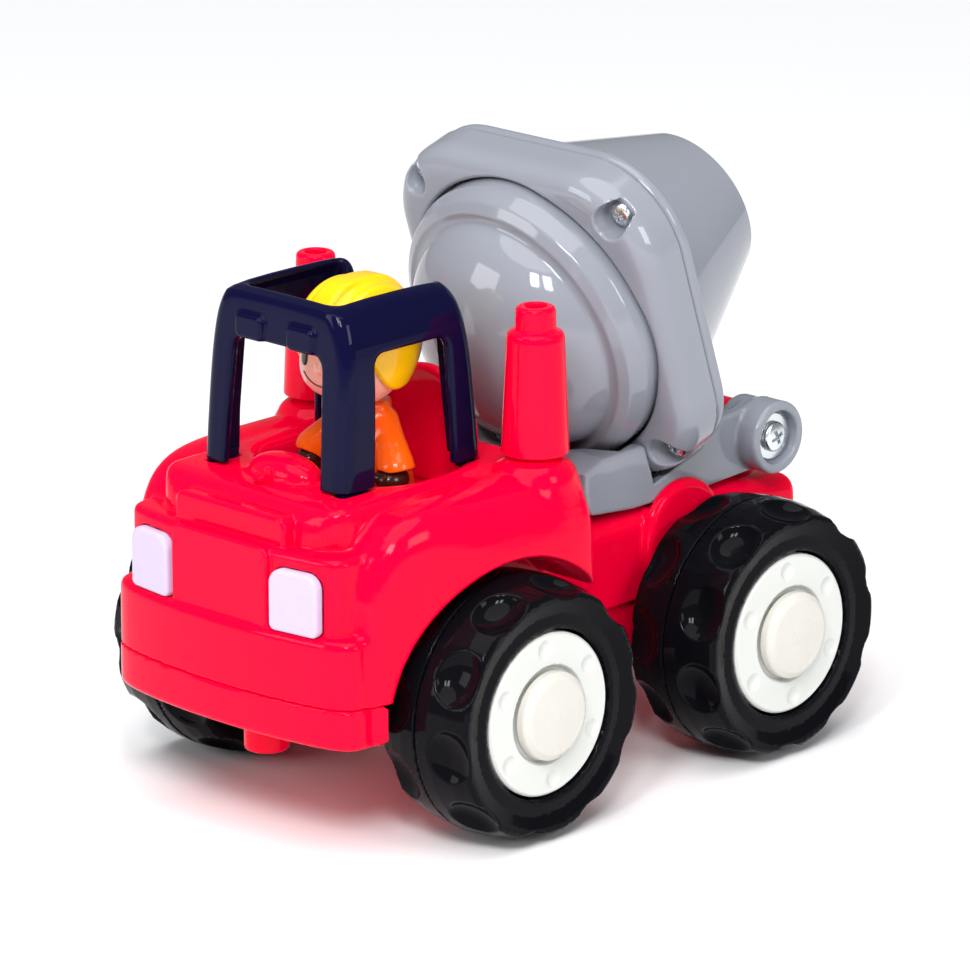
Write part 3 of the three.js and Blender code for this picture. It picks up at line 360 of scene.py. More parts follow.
def zinc(name):
    """Bright zinc plate: fine rolling marks and a patchy polish on steel."""
    material = bpy.data.materials.new(name)
    material.use_nodes = True
    nodes, links = material.node_tree.nodes, material.node_tree.links
    shader = nodes["Principled BSDF"]
    place = nodes.new("ShaderNodeTexCoord").outputs["Object"]
    marks = nodes.new("ShaderNodeTexNoise")
    marks.inputs["Scale"].default_value = 900
    marks.inputs["Detail"].default_value = 5
    links.new(place, marks.inputs["Vector"])
    tint = nodes.new("ShaderNodeMix")
    tint.data_type = "RGBA"
    tint.inputs["A"].default_value = (0.62, 0.68, 0.72, 1)
    tint.inputs["B"].default_value = (0.82, 0.84, 0.84, 1)
    links.new(marks.outputs["Fac"], tint.inputs["Factor"])
    links.new(tint.outputs["Result"], shader.inputs["Base Color"])
    polish = nodes.new("ShaderNodeMapRange")
    polish.inputs["To Min"].default_value = 0.16
    polish.inputs["To Max"].default_value = 0.36
    links.new(marks.outputs["Fac"], polish.inputs["Value"])
    links.new(polish.outputs["Result"], shader.inputs["Roughness"])
    dents = nodes.new("ShaderNodeBump")
    dents.inputs["Strength"].default_value = 0.12
    dents.inputs["Distance"].default_value = 0.0001
    links.new(marks.outputs["Fac"], dents.inputs["Height"])
    links.new(dents.outputs["Normal"], shader.inputs["Normal"])
    shader.inputs["Metallic"].default_value = 1
    return material


RED = plastic("red_plastic", (0.84, 0.0, 0.032), (0.79, 0.0, 0.027), (0.04, 0.07), coat=0, specular=0.08)
GREY = plastic("grey_plastic", (0.25, 0.265, 0.305), (0.23, 0.245, 0.285), (0.06, 0.1), coat=0.3)
NAVY = plastic("navy_plastic", (0.003, 0.003, 0.026), (0.0025, 0.0025, 0.021), (0.05, 0.08), coat=0,
               specular=0.1)
BLACK = plastic("black_plastic", (0.0025, 0.0026, 0.004), (0.0035, 0.0035, 0.005), (0.05, 0.09), coat=0,
                specular=0.06)
WHITE = plastic("white_plastic", (0.64, 0.65, 0.62), (0.61, 0.62, 0.59), (0.3, 0.4), 0.03, 0.02, 0.2, 0.1)
CREAM = plastic("cream_plastic", (0.62, 0.6, 0.55), (0.59, 0.57, 0.52), (0.24, 0.34), 0.03, 0.04, 0.2, 0.1)
LAMP = plastic("lamp_plastic", (0.54, 0.46, 0.66), (0.52, 0.44, 0.64), (0.24, 0.32), coat=0.02,
               specular=0.15)
ORANGE = plastic("orange_plastic", (0.95, 0.12, 0.004), (0.9, 0.1, 0.003), (0.16, 0.26))
SKIN = plastic("skin_plastic", (0.9, 0.46, 0.36), (0.88, 0.43, 0.33), (0.22, 0.3), coat=0.2, bleed=0.1)
YELLOW = plastic("yellow_plastic", (0.95, 0.58, 0.004), (0.93, 0.53, 0.003), (0.16, 0.24))
BROWN = plastic("brown_plastic", (0.045, 0.008, 0.006), (0.035, 0.006, 0.005), (0.14, 0.22))
INK = plastic("ink_paint", (0.004, 0.0035, 0.004), (0.006, 0.005, 0.005), (0.18, 0.24))
LIP = plastic("lip_paint", (0.28, 0.04, 0.05), (0.24, 0.035, 0.045), (0.24, 0.3))
NATURAL = plastic("natural_plastic", (0.8, 0.77, 0.69), (0.76, 0.73, 0.65), (0.35, 0.45))
STEEL = zinc("zinc_steel")


# ------------------------------------------------------------------------------------------ cab
BUMPER_PLAN = curve([(-40, -62.4), (-31.6, -62.4), (-31.6, -68.6), (-29.6, -71), (-24, -72.9),
                     (-13, -74.45), (0, -75.0), (13, -74.45), (24, -72.9), (29.6, -71), (31.6, -68.6),
                     (31.6, -62.4), (40, -62.4), (40, -50), (-40, -50)], 3)
CAB_BUMPER_PLAN = curve([(-13, -58), (-13, -74.45), (0, -75.0), (13, -74.45), (24, -72.9), (29.4, -71),
                         (31.3, -68.8), (31.3, -66.6), (29, -62.4), (28, -58)], 2)
FENDER_PLAN = curve([(-27, -69.6), (27, -69.6), (31.2, -68.8), (32.8, -63), (36.6, -49), (39, -39),
                     (40.2, -27), (40, -17), (38.6, -12), (34, CAB_BACK), (-34, CAB_BACK), (-38, -40)], 3)
FENDER_SIDE = curve([(-69.6, 10), (-69.2, 38), (-67, 45), (-65.6, 54), (-61.6, 61), (-55, 65.2), (-46, 67),
                     (-34, 67.6), (-20, 67.4), (4, 67.4), (4, 10)], 2)
FENDER_FRONT = curve([(-20, 10), (44, 10), (41, 44), (39.6, 55), (36.4, 62.6), (31.6, 66.8), (27.6, 67.3),
                      (24, 65.7), (20, 65.4), (-20, 65.4)], 2)
HOOD_SIDE = curve([(-69, 30), (-69, 55), (-68.4, 61.5), (-65.6, 66), (-60, 66.8), (-50, DECK_Z),
                   (-30, DECK_Z), (CAB_BACK + 6, DECK_Z), (CAB_BACK + 6, 30)], 2)
HOOD_FRONT = curve([(-20, 20), (26, 20), (25.6, 56), (24.8, 62), (23.4, 66.6), (18, DECK_Z),
                    (-20, DECK_Z)], 1)
HOOD_PLAN = curve([(-14, -69), (14, -69), (21.4, -67), (25.2, -61.6), (25.6, -54), (25.6, -8),
                   (-25.6, -8)], 2)
LAMP_PLAN = curve([(-14, -72.4), (0, -72.8), (14, -72.4), (23, -71.2), (27.6, -69.6), (28.2, -64),
                   (28.2, -52), (-14, -52)], 3)
WELL_PLAN = curve([(0, -50.6), (11, -50.6), (17.4, -46), (18.4, -37), (17, -28), (12, -21.4), (7, -19.2),
                   (0, -19.2), (-7, -19.2), (-12, -21.4), (-17, -28), (-18.4, -37), (-17.4, -46),
                   (-11, -50.6)], 3)


def cab_outside(x, y, z):
    """The cab filled in: bumper, lamp blocks, grille, hood, fenders and the stacks' turrets."""
    ax = np.abs(x)
    bumper = common(outline(ax, y, CAB_BUMPER_PLAN), z - 43.7, 2.2)
    lamps = common(outline(ax, y, LAMP_PLAN), z - 58.4, 1.7)
    grille = rounded_box(ax, y, 0, -60, 12.7, 13.6, 0.7)
    grille = common(grille, rounded_box(ax, z, 0, 44, 12.7, 14.6, 2.4), 0.6)
    step = common(rounded_box(ax, y, 0, -58, 14.7, 12.8, 1), rounded_box(ax, z, 0, 50, 14.7, 14, 2.6), 0.9)
    hood = common(outline(y, z, HOOD_SIDE), outline(ax, z, HOOD_FRONT), 1.6)
    hood = common(hood, outline(ax, y, HOOD_PLAN), 2)
    fender = common(outline(y, z, FENDER_SIDE), outline(ax, z, FENDER_FRONT), 4)
    fender = common(fender, outline(ax, y, FENDER_PLAN), 5)
    body = joined(0.4, common(hood, y - CAB_BACK, 2), lamps, step, bumper)
    body = union(body, grille, 0.3)
    body = union(body, fender, 1.2)
    reach = disc(ax, y, STACK_X, STACK_Y, 8.1)
    crown = ellipsoid(ax, y, z, (STACK_X, STACK_Y, 60.5), (9.6, 9.6, 9.2))
    turret = common(common(reach, crown, 1.6), z - 69, 0.6)
    turret = common(turret, 52.5 - z, 3)
    return union(body, turret, 1.6)


def cab_field(x, y, z):
    """The cab as a shell, with wheel arches, the driver's well, the seat back, sockets and the screw post."""
    ax = np.abs(x)
    body = cab_outside(x, y, z)
    arch = common(disc(y, z, -AXLE_Y, AXLE_Z, 28), 23.6 - ax, 0.5)
    well = common(outline(x, y, WELL_PLAN), 50.2 - z, 4)
    body = less(body, arch, 0.9)
    body = less(body, well, 4)
    shell = np.maximum(body, -(body + WALL))
    seat = common(rounded_box(x, z, 0, 60, 12.5, 20.4, 12.4), slab(y, -19.8, -16.9), 1.6)
    seat = common(seat, 58 - z, 0.5)
    bump = ellipsoid(ax, y, z, (0, -55.9, 66.6), (8.6, 4.7, 4.0))
    plinth = np.sqrt((ax / 8.6) ** 2 + ((y + 55.9) / 4.7) ** 2) - 1
    bump = np.minimum(common(bump, 66.4 - z, 0.2), common(plinth * 4.2, slab(z, 62.5, 66.8), 0.3))
    post = common(disc(x, y, 0, -61.5, 4.2), slab(z, SEAM_Z, 64), 0.4)
    shell = joined(1.2, shell, seat)
    shell = joined(0.8, shell, bump, post)
    shell = less(shell, disc(x, y, 0, -61.5, 1.7), 0.2)
    shaft = common(rounded_box(x, y, 0, -32.4, 7, 7, 3), slab(z, 40, 51.6), 0.4)
    shell = less(shell, shaft, 0.6)
    socket = common(disc(ax, y, STACK_X, STACK_Y, 2.3), 60 - z, 0.2)
    feet = np.minimum(
        common(rounded_box(ax, y, 16.95, -55.65, 1.3, 3.5, 0.5), 63 - z, 0.2),
        common(rounded_box(ax, y, 14.8, -24.1, 3, 1.4, 0.6), 63 - z, 0.2),
    )
    lamp = common(lamp_outline(ax, y, z, 0.1), 69.4 + y, 0.1)
    shell = less(shell, joined(0.2, socket, feet, lamp), 0.3)
    return common(shell, SEAM_Z - z, 0.3)


LAMP_TURN = math.radians(7.4)


def lamp_outline(ax, y, z, grow):
    """The headlight's outline, seen square to its face, which turns outwards with the cab's nose."""
    across = (ax - 18.9) * math.cos(LAMP_TURN) + (y + 72.4) * math.sin(LAMP_TURN)
    top = rounded_box(across, z, 0, 49.55, 5.6 + grow, 5.95 + grow, 3.0)
    low = rounded_box(across, z, 0, 47.0, 5.6 + grow, 3.4 + grow, 1.4)
    return np.minimum(top, low)


def lamp_field(x, y, z):
    """One headlight: a plate with a soft edge, standing a little out of its recess."""
    proud = -(x - 18.9) * math.sin(LAMP_TURN) + (y + 72.4) * math.cos(LAMP_TURN)
    return common(lamp_outline(x, y, z, 0.02), slab(proud, -0.95, 1.5), 0.9)


def mirrored(shape):
    return placed(shape, Matrix.Diagonal((-1, 1, 1, 1)))


def cab():
    shape = surface(cab_field, (-41, -76, 30), (41, -10, 82), 0.54)
    piece("cab_moulding", shape, RED, "chassis", "red_plastic", ["cab_shell"])
    lamp = surface(lamp_field, (12, -75, 42), (26, -69, 57), 0.28)
    for name, side in SIDES:
        shape = lamp if side > 0 else mirrored(lamp)
        piece(f"headlight_{name}_lens", shape, LAMP, "chassis", "lamp_plastic", [f"headlight_{name}"])
        stack = turned([(0, 61, 0), (2, 61, 0.3), (2, 69.2, 0.1), (6.4, 69.2, 0.3), (5.5, 91, 0.6),
                        (5.25, 92.2, 1.1), (3.9, 92.9, 0.5), (3.75, 97.2, 0.9), (2.05, 97.2, 0.5),
                        (1.9, 93.6, 0.5), (0, 93.6, 0)], 72)
        stack = placed(stack, Matrix.Translation((side * STACK_X, STACK_Y, 0)))
        piece(f"stack_{name}_pipe", stack, RED, "chassis", "red_plastic", [f"stack_{name}"])


# ------------------------------------------------------------------------------------------ roll cage
CAGE_FRONT = curve([(-20, 60), (18.9, 60), (18.75, 72), (18.5, 84), (18.0, 91.4), (17.0, 96.8), (14.9, 100.6),
                    (12.1, 102.1), (-20, 102.1)], 2)
CAGE_SIDE = curve([(-59.95, 60), (-59.95, 67), (-58.75, 84), (-58.2, 91.4), (-57.8, 97), (-57.2, 102.1),
                   (-29, 102.1), (-26.6, 99.4), (-25.4, 94.9), (-24.3, 88), (-22.4, 67), (-22.4, 60)], 2)
CAGE_ROOM = [(-20, 60), (17, 60), (16.9, 75), (15.7, 91.4), (13.6, 98), (10.9, 102), (9.5, 110), (-20, 110)]


def cage_field(x, y, z):
    """The roll cage: a leaning box hollowed out, with windows on its sides, two pads and four feet."""
    ax = np.abs(x)
    up = z - 66.9
    outer = common(outline(ax, z, CAGE_FRONT), outline(y, z, CAGE_SIDE), 3.4)
    front = (-58.1 + 0.09 * up + 0.09 * np.maximum(up - 24, 0) - y) * 0.99
    flange = common(11.2 - ax, -25.2 - 0.13 * up - y, 1)
    room = common(common(outline(ax, z, CAGE_ROOM), front, 3), -flange, 0.8)
    shell = less(outer, room, 1.2)
    front_window = common(ax - 12.5 + 0.04 * np.maximum(up - 4, 0), z - 91.6, 3.4)
    front_window = common(front_window, y + 46, 0.1)
    side_window = common(-51 + 0.035 * up - y, y + 30.3 + 0.03 * up, 0.1)
    side_window = common(side_window, z - 91.5, 3)
    side_window = common(side_window, 7.5 - ax, 0.1)
    shell = less(less(shell, front_window, 1.0), side_window, 1.0)
    pad = common(rounded_box(ax, z, 6.7, 94.0, 3.6, 2.4, 1.3), slab(y, -59.05, -56), 0.9)
    shell = common(union(shell, pad, 0.5), 66.9 - z, 0.1)
    feet = np.minimum(
        common(rounded_box(ax, y, 16.95, -55.65, 1.1, 3.2, 0.4), slab(z, 64.3, 68), 0.2),
        common(rounded_box(ax, y, 15.1, -24.05, 2, 0.9, 0.5), slab(z, 64.3, 68), 0.2),
    )
    return union(shell, feet, 0.2)


def cage():
    shape = surface(cage_field, (-19, -61, 64), (19, -21, 102.2), 0.4)
    piece("roll_cage_moulding", shape, NAVY, "chassis", "navy_plastic", ["roll_cage"])


# ------------------------------------------------------------------------------------------ chassis
def pan_field(x, y, z):
    """The lower pan: the bumper's lower half, a tray, and bosses, posts and saddles inside."""
    ax = np.abs(x)
    plan = common(outline(x, y, BUMPER_PLAN), y + 62.6, 0.4)
    nose = common(plan, 22.6 - z, 1.6)
    tray = common(rounded_box(ax, y, 0, -0.5, 21.3, 62.5, 3), 18.4 - z, 1.8)
    tray = common(tray, (1.9 - 0.33 * y - z) * 0.95, 2)
    body = common(union(nose, tray, 1.2), z - SEAM_Z + 0.12, 0.3)
    boss = common(disc(x, y, 0, -61.5, 4.3), slab(z, 14.5, 24), 0.8)
    body = union(body, boss, 1.0)
    room = common(rounded_box(ax, y, 0, 4, 19, 55.5, 2), 20.4 - z, 1)
    body = less(body, room, 0.8)
    posts = np.minimum(
        common(disc(ax, y, 14, 52, 3.4), slab(z, 19, 30.2), 0.4),
        common(disc(x, np.abs(y + 27.8), 0, 16.8, 3.4), slab(z, 19, 23.4), 0.4),
    )
    body = union(body, np.minimum(posts, common(disc(x, y, 0, -61.5, 3.4), slab(z, 20, 30.2), 0.4)), 0.8)
    sink = np.minimum(
        common(disc(x, y, 0, -61.5, 2.95), z - 17.6, 0.3),
        common(disc(ax, y, 14, 52, 2.95), z - 21, 0.3),
    )
    bore = np.minimum(disc(x, y, 0, -61.5, 1.75), disc(ax, y, 14, 52, 1.75))
    bore = np.minimum(bore, common(disc(x, np.abs(y + 27.8), 0, 16.8, 1.2), 21 - z, 0.2))
    saddle = common(np.minimum(disc(np.abs(y), z, AXLE_Y, AXLE_Z, 1.75),
                               common(np.abs(np.abs(y) - AXLE_Y) - 1.75, AXLE_Z - z, 0.1)), 17 - ax, 0.2)
    return less(body, joined(0.1, sink, bore, saddle), 0.4)


BODY_TOP = 48.2


def rear_field(x, y, z):
    """The box under the bed, with round side bosses and the two lugs that the bed tips on."""
    ax = np.abs(x)
    top = BODY_TOP - 0.11 * np.maximum(y - 44, 0)
    block = common(rounded_box(ax, y, 0, 25.6, 22.5, 37.3, 3), z - top, 4.5)
    boss = common(disc(y, z, 27.9, 41.6, 11), ax - 24.3, 2.2)
    boss = common(boss, 10 - ax, 0.4)
    under_bed = common(common(ax - 22.3, BODY_TOP - z, 0.2), slab(y, -12, 63), 0.2)
    body = union(block, less(boss, under_bed, 0.3), 0.9)
    body = np.maximum(body, -(body + WALL))
    lug = common(disc(y, z, TILT_Y, TILT_Z, 5.4), slab(ax, 9.4, 15.6), 0.8)
    root = common(rounded_box(y, z, TILT_Y, 50, 5.4, 6.6, 0.4), slab(ax, 9.4, 15.6), 0.8)
    body = union(body, np.minimum(lug, root), 1.0)
    body = less(body, common(disc(y, z, TILT_Y, TILT_Z, 1.75), slab(ax, 8, 17), 0.2), 0.3)
    post = common(disc(ax, y, 14, 52, 3.6), slab(z, SEAM_Z, 45), 0.3)
    body = less(union(body, post, 0.8), common(disc(ax, y, 14, 52, 1.6), z - 40, 0.2), 0.2)
    body = less(body, disc(y, z, AXLE_Y, AXLE_Z, 2.4), 0.2)
    return common(body, SEAM_Z - z, 0.3)


def chassis():
    shape = surface(pan_field, (-32, -75.3, 14), (32, 63, 31), 0.68)
    piece("chassis_pan_moulding", shape, RED, "chassis", "red_plastic", ["chassis_pan"])
    shape = surface(rear_field, (-24.5, -12, 30), (24.5, 63, 62.5), 0.62)
    piece("rear_body_moulding", shape, RED, "chassis", "red_plastic", ["rear_body"])


# ------------------------------------------------------------------------------------------ wheels
TREAD = [(16.1, 44.6), (16.3, 46.1), (17.2, 46.3), (19.2, 46.1), (21.6, 46.9), (22.6, 47.1), (23.4, 46.5),
         (24.3, 43), (24.85, 39),
         (25, 35.75), (23, 35.75), (20.6, 42.2), (4.4, 42.2), (4.4, 35.75), (1.75, 35.75), (1.75, 43.9),
         (16.1, 43.9)]
TREAD_INSIDE = [(16.1, 27.8), (16.6, 26.2), (20.6, 25.2), (22.4, 25.2), (23.6, 26.2), (24.4, 29), (24.8, 32),
                (24.9, 35.45), (23, 35.45), (20.6, 30.2), (4.4, 30.2), (4.4, 35.45), (1.75, 35.45),
                (1.75, 28.3), (16.1, 28.3)]
SCOOPS = 10


def scooped(section, centre_x, offset):
    """Half a tyre about the X axis, with a row of oval scoops bitten out of its shoulder."""
    turn = 2 * math.pi / SCOOPS

    def field(x, y, z):
        radius = np.sqrt(y * y + z * z)
        angle = np.arctan2(z, y) - offset
        near = angle - turn * np.round(angle / turn)
        body = outline(radius, x, section)
        scoop = ellipsoid(x, radius * np.sin(near), radius * np.cos(near),
                          (centre_x, 0, 25.3), (5.7, 6.2, 3.5))
        return less(body, scoop, 0.4)

    return field


DISC_FACE = [(1.8, 45), (9.0, 45), (9.6, 46.05), (15.2, 46.05), (15.6, 45.6), (15.6, 44.2), (1.8, 44.2)]


def hub_field(x, y, z):
    """A wheel disc about the X axis: a flat ring with six shallow dimples."""
    radius = np.sqrt(y * y + z * z)
    turn = math.pi / 3
    angle = np.arctan2(z, y) - math.radians(35)
    near = angle - turn * np.round(angle / turn)
    body = outline(radius, x, DISC_FACE) - 0.05
    along, across = radius * np.cos(near), radius * np.sin(near)
    dimple = np.sqrt((x - 47.6) ** 2 + (along - 12.8) ** 2 + across**2) - 2.3
    return less(body, dimple, 0.2)


def wheels():
    swap = Matrix(((0, 0, 1, 0), (1, 0, 0, 0), (0, 1, 0, 0), (0, 0, 0, 1)))
    cap = placed(turned([(0, 45.8, 0), (8.45, 45.8, 0.2), (8.45, 47.6, 0.8), (7.2, 48.45, 1.3),
                         (0, 48.85, 0)], 96), swap)
    disc_shape = surface(hub_field, (44, -15.8, -15.8), (46.2, 15.8, 15.8), 0.3)
    rod = placed(turned([(0, -43.55, 0), (1.5, -43.55, 0.3), (1.5, 43.55, 0.3), (0, 43.55, 0)], 32), swap)
    for end, y, notch in (("front", -AXLE_Y, 8), ("rear", AXLE_Y, 15)):
        offset = math.radians(notch)
        outer = surface(scooped(TREAD, 44.4, offset), (35, -25.2, -25.2), (47.4, 25.2, 25.2), 0.5)
        inner = surface(scooped(TREAD_INSIDE, 28.2, offset + math.pi / SCOOPS),
                        (25, -25.2, -25.2), (36, 25.2, 25.2), 0.55)
        body = f"{end}_wheels"
        here = Matrix.Translation((0, y, AXLE_Z))
        piece(f"{end}_axle_rod", placed(rod, here), STEEL, body, "steel", [f"{end}_axle"])
        for name, side in SIDES:
            at = here @ Matrix.Diagonal((side, 1, 1, 1))
            tag = f"{end}_{name}"
            for label, shape, material, slot, node in (
                ("tyre_outer_half", outer, BLACK, "black_tyre_plastic", "tyre_outer"),
                ("tyre_inner_half", inner, BLACK, "black_tyre_plastic", "tyre_inner"),
                ("hub_disc_face", disc_shape, WHITE, "white_hub_plastic", "hub_disc"),
                ("hub_cap_dome", cap, CREAM, "white_hub_plastic", "hub_cap"),
            ):
                piece(f"{label}_{tag}", placed(shape, at), material, body, slot, [f"{node}_{tag}"])


# ------------------------------------------------------------------------------------------ bed
TO_TRUCK = Matrix.Translation((0, FRAME_Y, FRAME_Z)) @ Matrix.Rotation(FRAME_TILT, 4, "X")
COS, SIN = math.cos(FRAME_TILT), math.sin(FRAME_TILT)
BED_SIDE = curve([(4.6, 48.9), (47, 48.9), (52, 51.2), (57, 55.6), (56.4, 61), (50, 63), (44, 62.2),
                  (24, 61.2), (1.6, 60.3), (1.5, 53.2)], 1)
DRUM_SWEEP = [(0, -22.2), (13, -19.6), (21, -14.4), (25.8, -8), (30, -5.6), (30, 24), (0, 24)]


def in_frame(y, z):
    """A truck point in the drum frame's own axes: along the drum's axis, and up the frame's face."""
    return (y - FRAME_Y) * COS + (z - FRAME_Z) * SIN, (z - FRAME_Z) * COS - (y - FRAME_Y) * SIN


def bed_field(x, y, z):
    """The tipping bed: a channel with side cheeks, cut to the frame and drum, and its pivot rings."""
    ax = np.abs(x)
    along, up = in_frame(y, z)
    sheet = common(outline(y, z, BED_SIDE), ax - 22.2, 0.9)
    channel = common(common(ax - 18.9, 50.9 - z, 0.8), slab(y, 3.9, 80), 0.8)
    channel = common(channel, z - 58.4, 0.5)
    open_rear = common(common(ax - 18.9, 43 - y, 0.6), 46 - z, 0.2)
    top_open = common(common(ax - 18.9, 18 - y, 0.6), 50.9 - z, 0.6)
    bed = less(less(less(sheet, channel, 0.8), top_open, 0.8), open_rear, 0.8)
    ring = common(disc(y, z, TILT_Y, TILT_Z, 7.25), slab(ax, 21, 27.1), 1.0)
    bush = common(disc(y, z, TILT_Y, TILT_Z, 6.85), slab(ax, 16.2, 22), 0.8)
    bed = joined(0.8, bed, ring, bush)
    seat = common(slab(x, -14.5, 14.5), slab(along, 0.6, 13), 0.6)
    seat = common(seat, common(up + 33.35, 50 - z, 0.4), 0.4)
    bed = union(bed, seat, 0.6)
    plate = common(rounded_box(x, up, 0, 0, 33.45, 33.45, 18), slab(along, -0.45, 14.05), 0.2)
    sweep = outline(np.sqrt(x * x + up * up), along, DRUM_SWEEP)
    sink = common(disc(y, z, TILT_Y, TILT_Z, 5.3), 24.5 - ax, 0.5)
    bore = common(disc(y, z, TILT_Y, TILT_Z, 1.9), 14 - ax, 0.1)
    screw = np.minimum(common(disc(ax, along, 13, 6.6, 2.9), up + 35.8, 0.2), disc(ax, along, 13, 6.6, 1.55))
    screw = common(screw, up + 20, 0.1)
    return less(less(bed, joined(0.2, plate, sweep), 0.5), joined(0.1, sink, bore, screw), 0.6)


def frame_front_field(x, y, z):
    """The frame's front half in its own axes, y along the drum's axis."""
    radius = np.sqrt(x * x + z * z)
    plate = common(rounded_box(x, z, 0, 0, 33, 33, 18), -y, 5.6)
    plate = common(plate, y - 10.45, 0.5)
    plate = less(plate, common(radius - 29.9, slab(y, -3, 16), 0.1), 1.0)
    plate = less(plate, common(radius - 31.55, slab(y, 4.5, 12), 0.1), 0.3)
    ax, az = np.abs(x), np.abs(z)
    hole = common(disc(ax, az, 25.5, 25.5, 3.3), y - 5, 0.5)
    plate = less(plate, hole, 0.6)
    plate = less(plate, disc(ax, az, 25.5, 25.5, 1.6), 0.2)
    return less(plate, common(disc(ax, y, 13, 6.6, 1.3), z + 27, 0.1), 0.2)


def frame_rear_field(x, y, z):
    """The frame's rear half, a plain ring plate."""
    radius = np.sqrt(x * x + z * z)
    plate = common(rounded_box(x, z, 0, 0, 32.7, 32.7, 18), slab(y, 10.75, 13.55), 1.3)
    plate = less(plate, radius - 29.9, 0.8)
    return less(plate, common(disc(np.abs(x), np.abs(z), 25.5, 25.5, 1.4), y - 12.6, 0.2), 0.2)


def bed():
    shape = surface(bed_field, (-27.3, 1, 48), (27.3, 59, 64.5), 0.55)
    piece("tilt_bed_moulding", shape, GREY, "bed", "grey_plastic", ["tilt_bed"])
    front = surface(frame_front_field, (-33.2, -0.5, -33.2), (33.2, 11, 33.2), 0.55)
    piece("frame_front_moulding", placed(front, TO_TRUCK), GREY, "bed", "grey_plastic", ["frame_front"])
    rear = surface(frame_rear_field, (-33.2, 10.4, -33.2), (33.2, 14, 33.2), 0.5)
    piece("frame_rear_moulding", placed(rear, TO_TRUCK), GREY, "bed", "grey_plastic", ["frame_rear"])


# ------------------------------------------------------------------------------------------ drum
def drum():
    """The drum in two turned shells: the dome with its collar, and the cone with its mouth."""
    to_axis = TO_TRUCK @ Matrix.Rotation(-math.pi / 2, 4, "X")
    dome = [(24.9 * math.sin(a), -2 - 19 * math.cos(a)) for a in np.radians(np.linspace(0, 79.7, 26))]
    inside = [(23.1 * math.sin(a), -2 - 17.2 * math.cos(a)) for a in np.radians(np.linspace(80, 0, 26))]
    front = [(r, h, 0) for r, h in dome[:-1]]
    front += [(26.2, -6.6, 1.1), (28.2, -5.2, 1.6), (29.4, -2, 2.0), (29.4, 5, 0.3), (31.2, 5, 0.2),
              (31.2, 6.85, 0.2), (27.6, 6.85, 0.3), (27, -3.2, 1)]
    front += [(r, h, 0) for r, h in inside[:-1]] + [(0, inside[-1][1], 0)]
    rear = [(27.6, 7.15, 0.3), (31.2, 7.15, 0.2), (31.2, 9, 0.2), (29.4, 9, 0.3), (29.4, 14.4, 0.8),
            (28.9, 16.4, 1.2), (15.9, 45.7, 0.8), (14.1, 45.7, 0.8), (27.4, 14.2, 1)]
    for name, corners, node in (("drum_front_shell", front, "drum_front"),
                                ("drum_rear_shell", rear, "drum_rear")):
        shape = placed(turned(corners, 144, 4), to_axis)
        piece(name, shape, GREY, "drum", "grey_plastic", [node])


# ------------------------------------------------------------------------------------------ fasteners
def pan_head(head, height, shank, length):
    """A pan-head screw that points down -Z, its head's seat at z = 0, with a cross recess."""

    def field(x, y, z):
        radius = np.sqrt(x * x + y * y)
        dome = ellipsoid(x, y, z, (0, 0, 0), (head * 1.25, head * 1.25, height))
        top = common(common(radius - head, -z, 0.2), dome, 0.5)
        stem = common(radius - shank, common(z - 0.2, -length - z, 0.3), 0.3)
        body = union(top, stem, 0.3)
        ax, ay = np.abs(x), np.abs(y)
        arms = np.minimum(np.maximum(ax - 0.34, ay - head * 0.52), np.maximum(ay - 0.34, ax - head * 0.52))
        slope = (height * 0.2 - z) * 0.6
        return less(body, common(arms, slope, 0.2), 0.15)

    return surface(field, (-head, -head, -length), (head, head, height), head / 26)


def fasteners():
    small = pan_head(2.4, 1.5, 1.2, 6.8)
    short = pan_head(2.4, 1.5, 1.1, 5.6)
    for name, side in SIDES:
        for level, up in (("upper", 1), ("lower", -1)):
            at = Matrix.Translation((side * 25.5, 4.95, up * 25.5)) @ Matrix.Rotation(math.pi / 2, 4, "X")
            tag = f"frame_screw_{level}_{name}"
            piece(tag + "_head", placed(small, TO_TRUCK @ at), STEEL, "bed", "steel", [tag])
        at = Matrix.Translation((side * 13, 6.6, -35.6)) @ Matrix.Rotation(math.pi, 4, "X")
        tag = f"frame_foot_screw_{name}"
        piece(tag + "_head", placed(short, TO_TRUCK @ at), STEEL, "bed", "steel", [tag])
    pivot = pan_head(3.0, 1.5, 1.5, 14.2)
    washer = turned([(1.75, 0, 0.08), (4.6, 0, 0.12), (4.6, 0.5, 0.15), (1.75, 0.5, 0.12)], 72, 3)
    for name, side in SIDES:
        out = Matrix.Translation((0, TILT_Y, TILT_Z)) @ Matrix.Rotation(side * math.pi / 2, 4, "Y")
        tag = f"pivot_screw_{name}"
        at = out @ Matrix.Translation((0, 0, 25.2)) @ Matrix.Rotation(math.radians(24), 4, "Z")
        piece(tag + "_head", placed(pivot, at), STEEL, "chassis", "steel", [tag])
        tag = f"pivot_washer_{name}"
        at = out @ Matrix.Translation((0, 0, 24.7))
        piece(tag + "_disc", placed(washer, at), STEEL, "chassis", "steel", [tag])
    chassis_screw = pan_head(2.6, 1.8, 1.4, 16)
    flip = Matrix.Rotation(math.pi, 4, "X")
    seats = (("front", 0, -61.5, 17.4), ("rear_left", 14, 52, 20.8), ("rear_right", -14, 52, 20.8))
    for tag, x, y, z in seats:
        at = Matrix.Translation((x, y, z)) @ flip
        tag = f"chassis_screw_{tag}"
        piece(tag + "_head", placed(chassis_screw, at), STEEL, "chassis", "steel", [tag])


# ------------------------------------------------------------------------------------------ driver
HAND = (10.6, -38.6, 63.9)


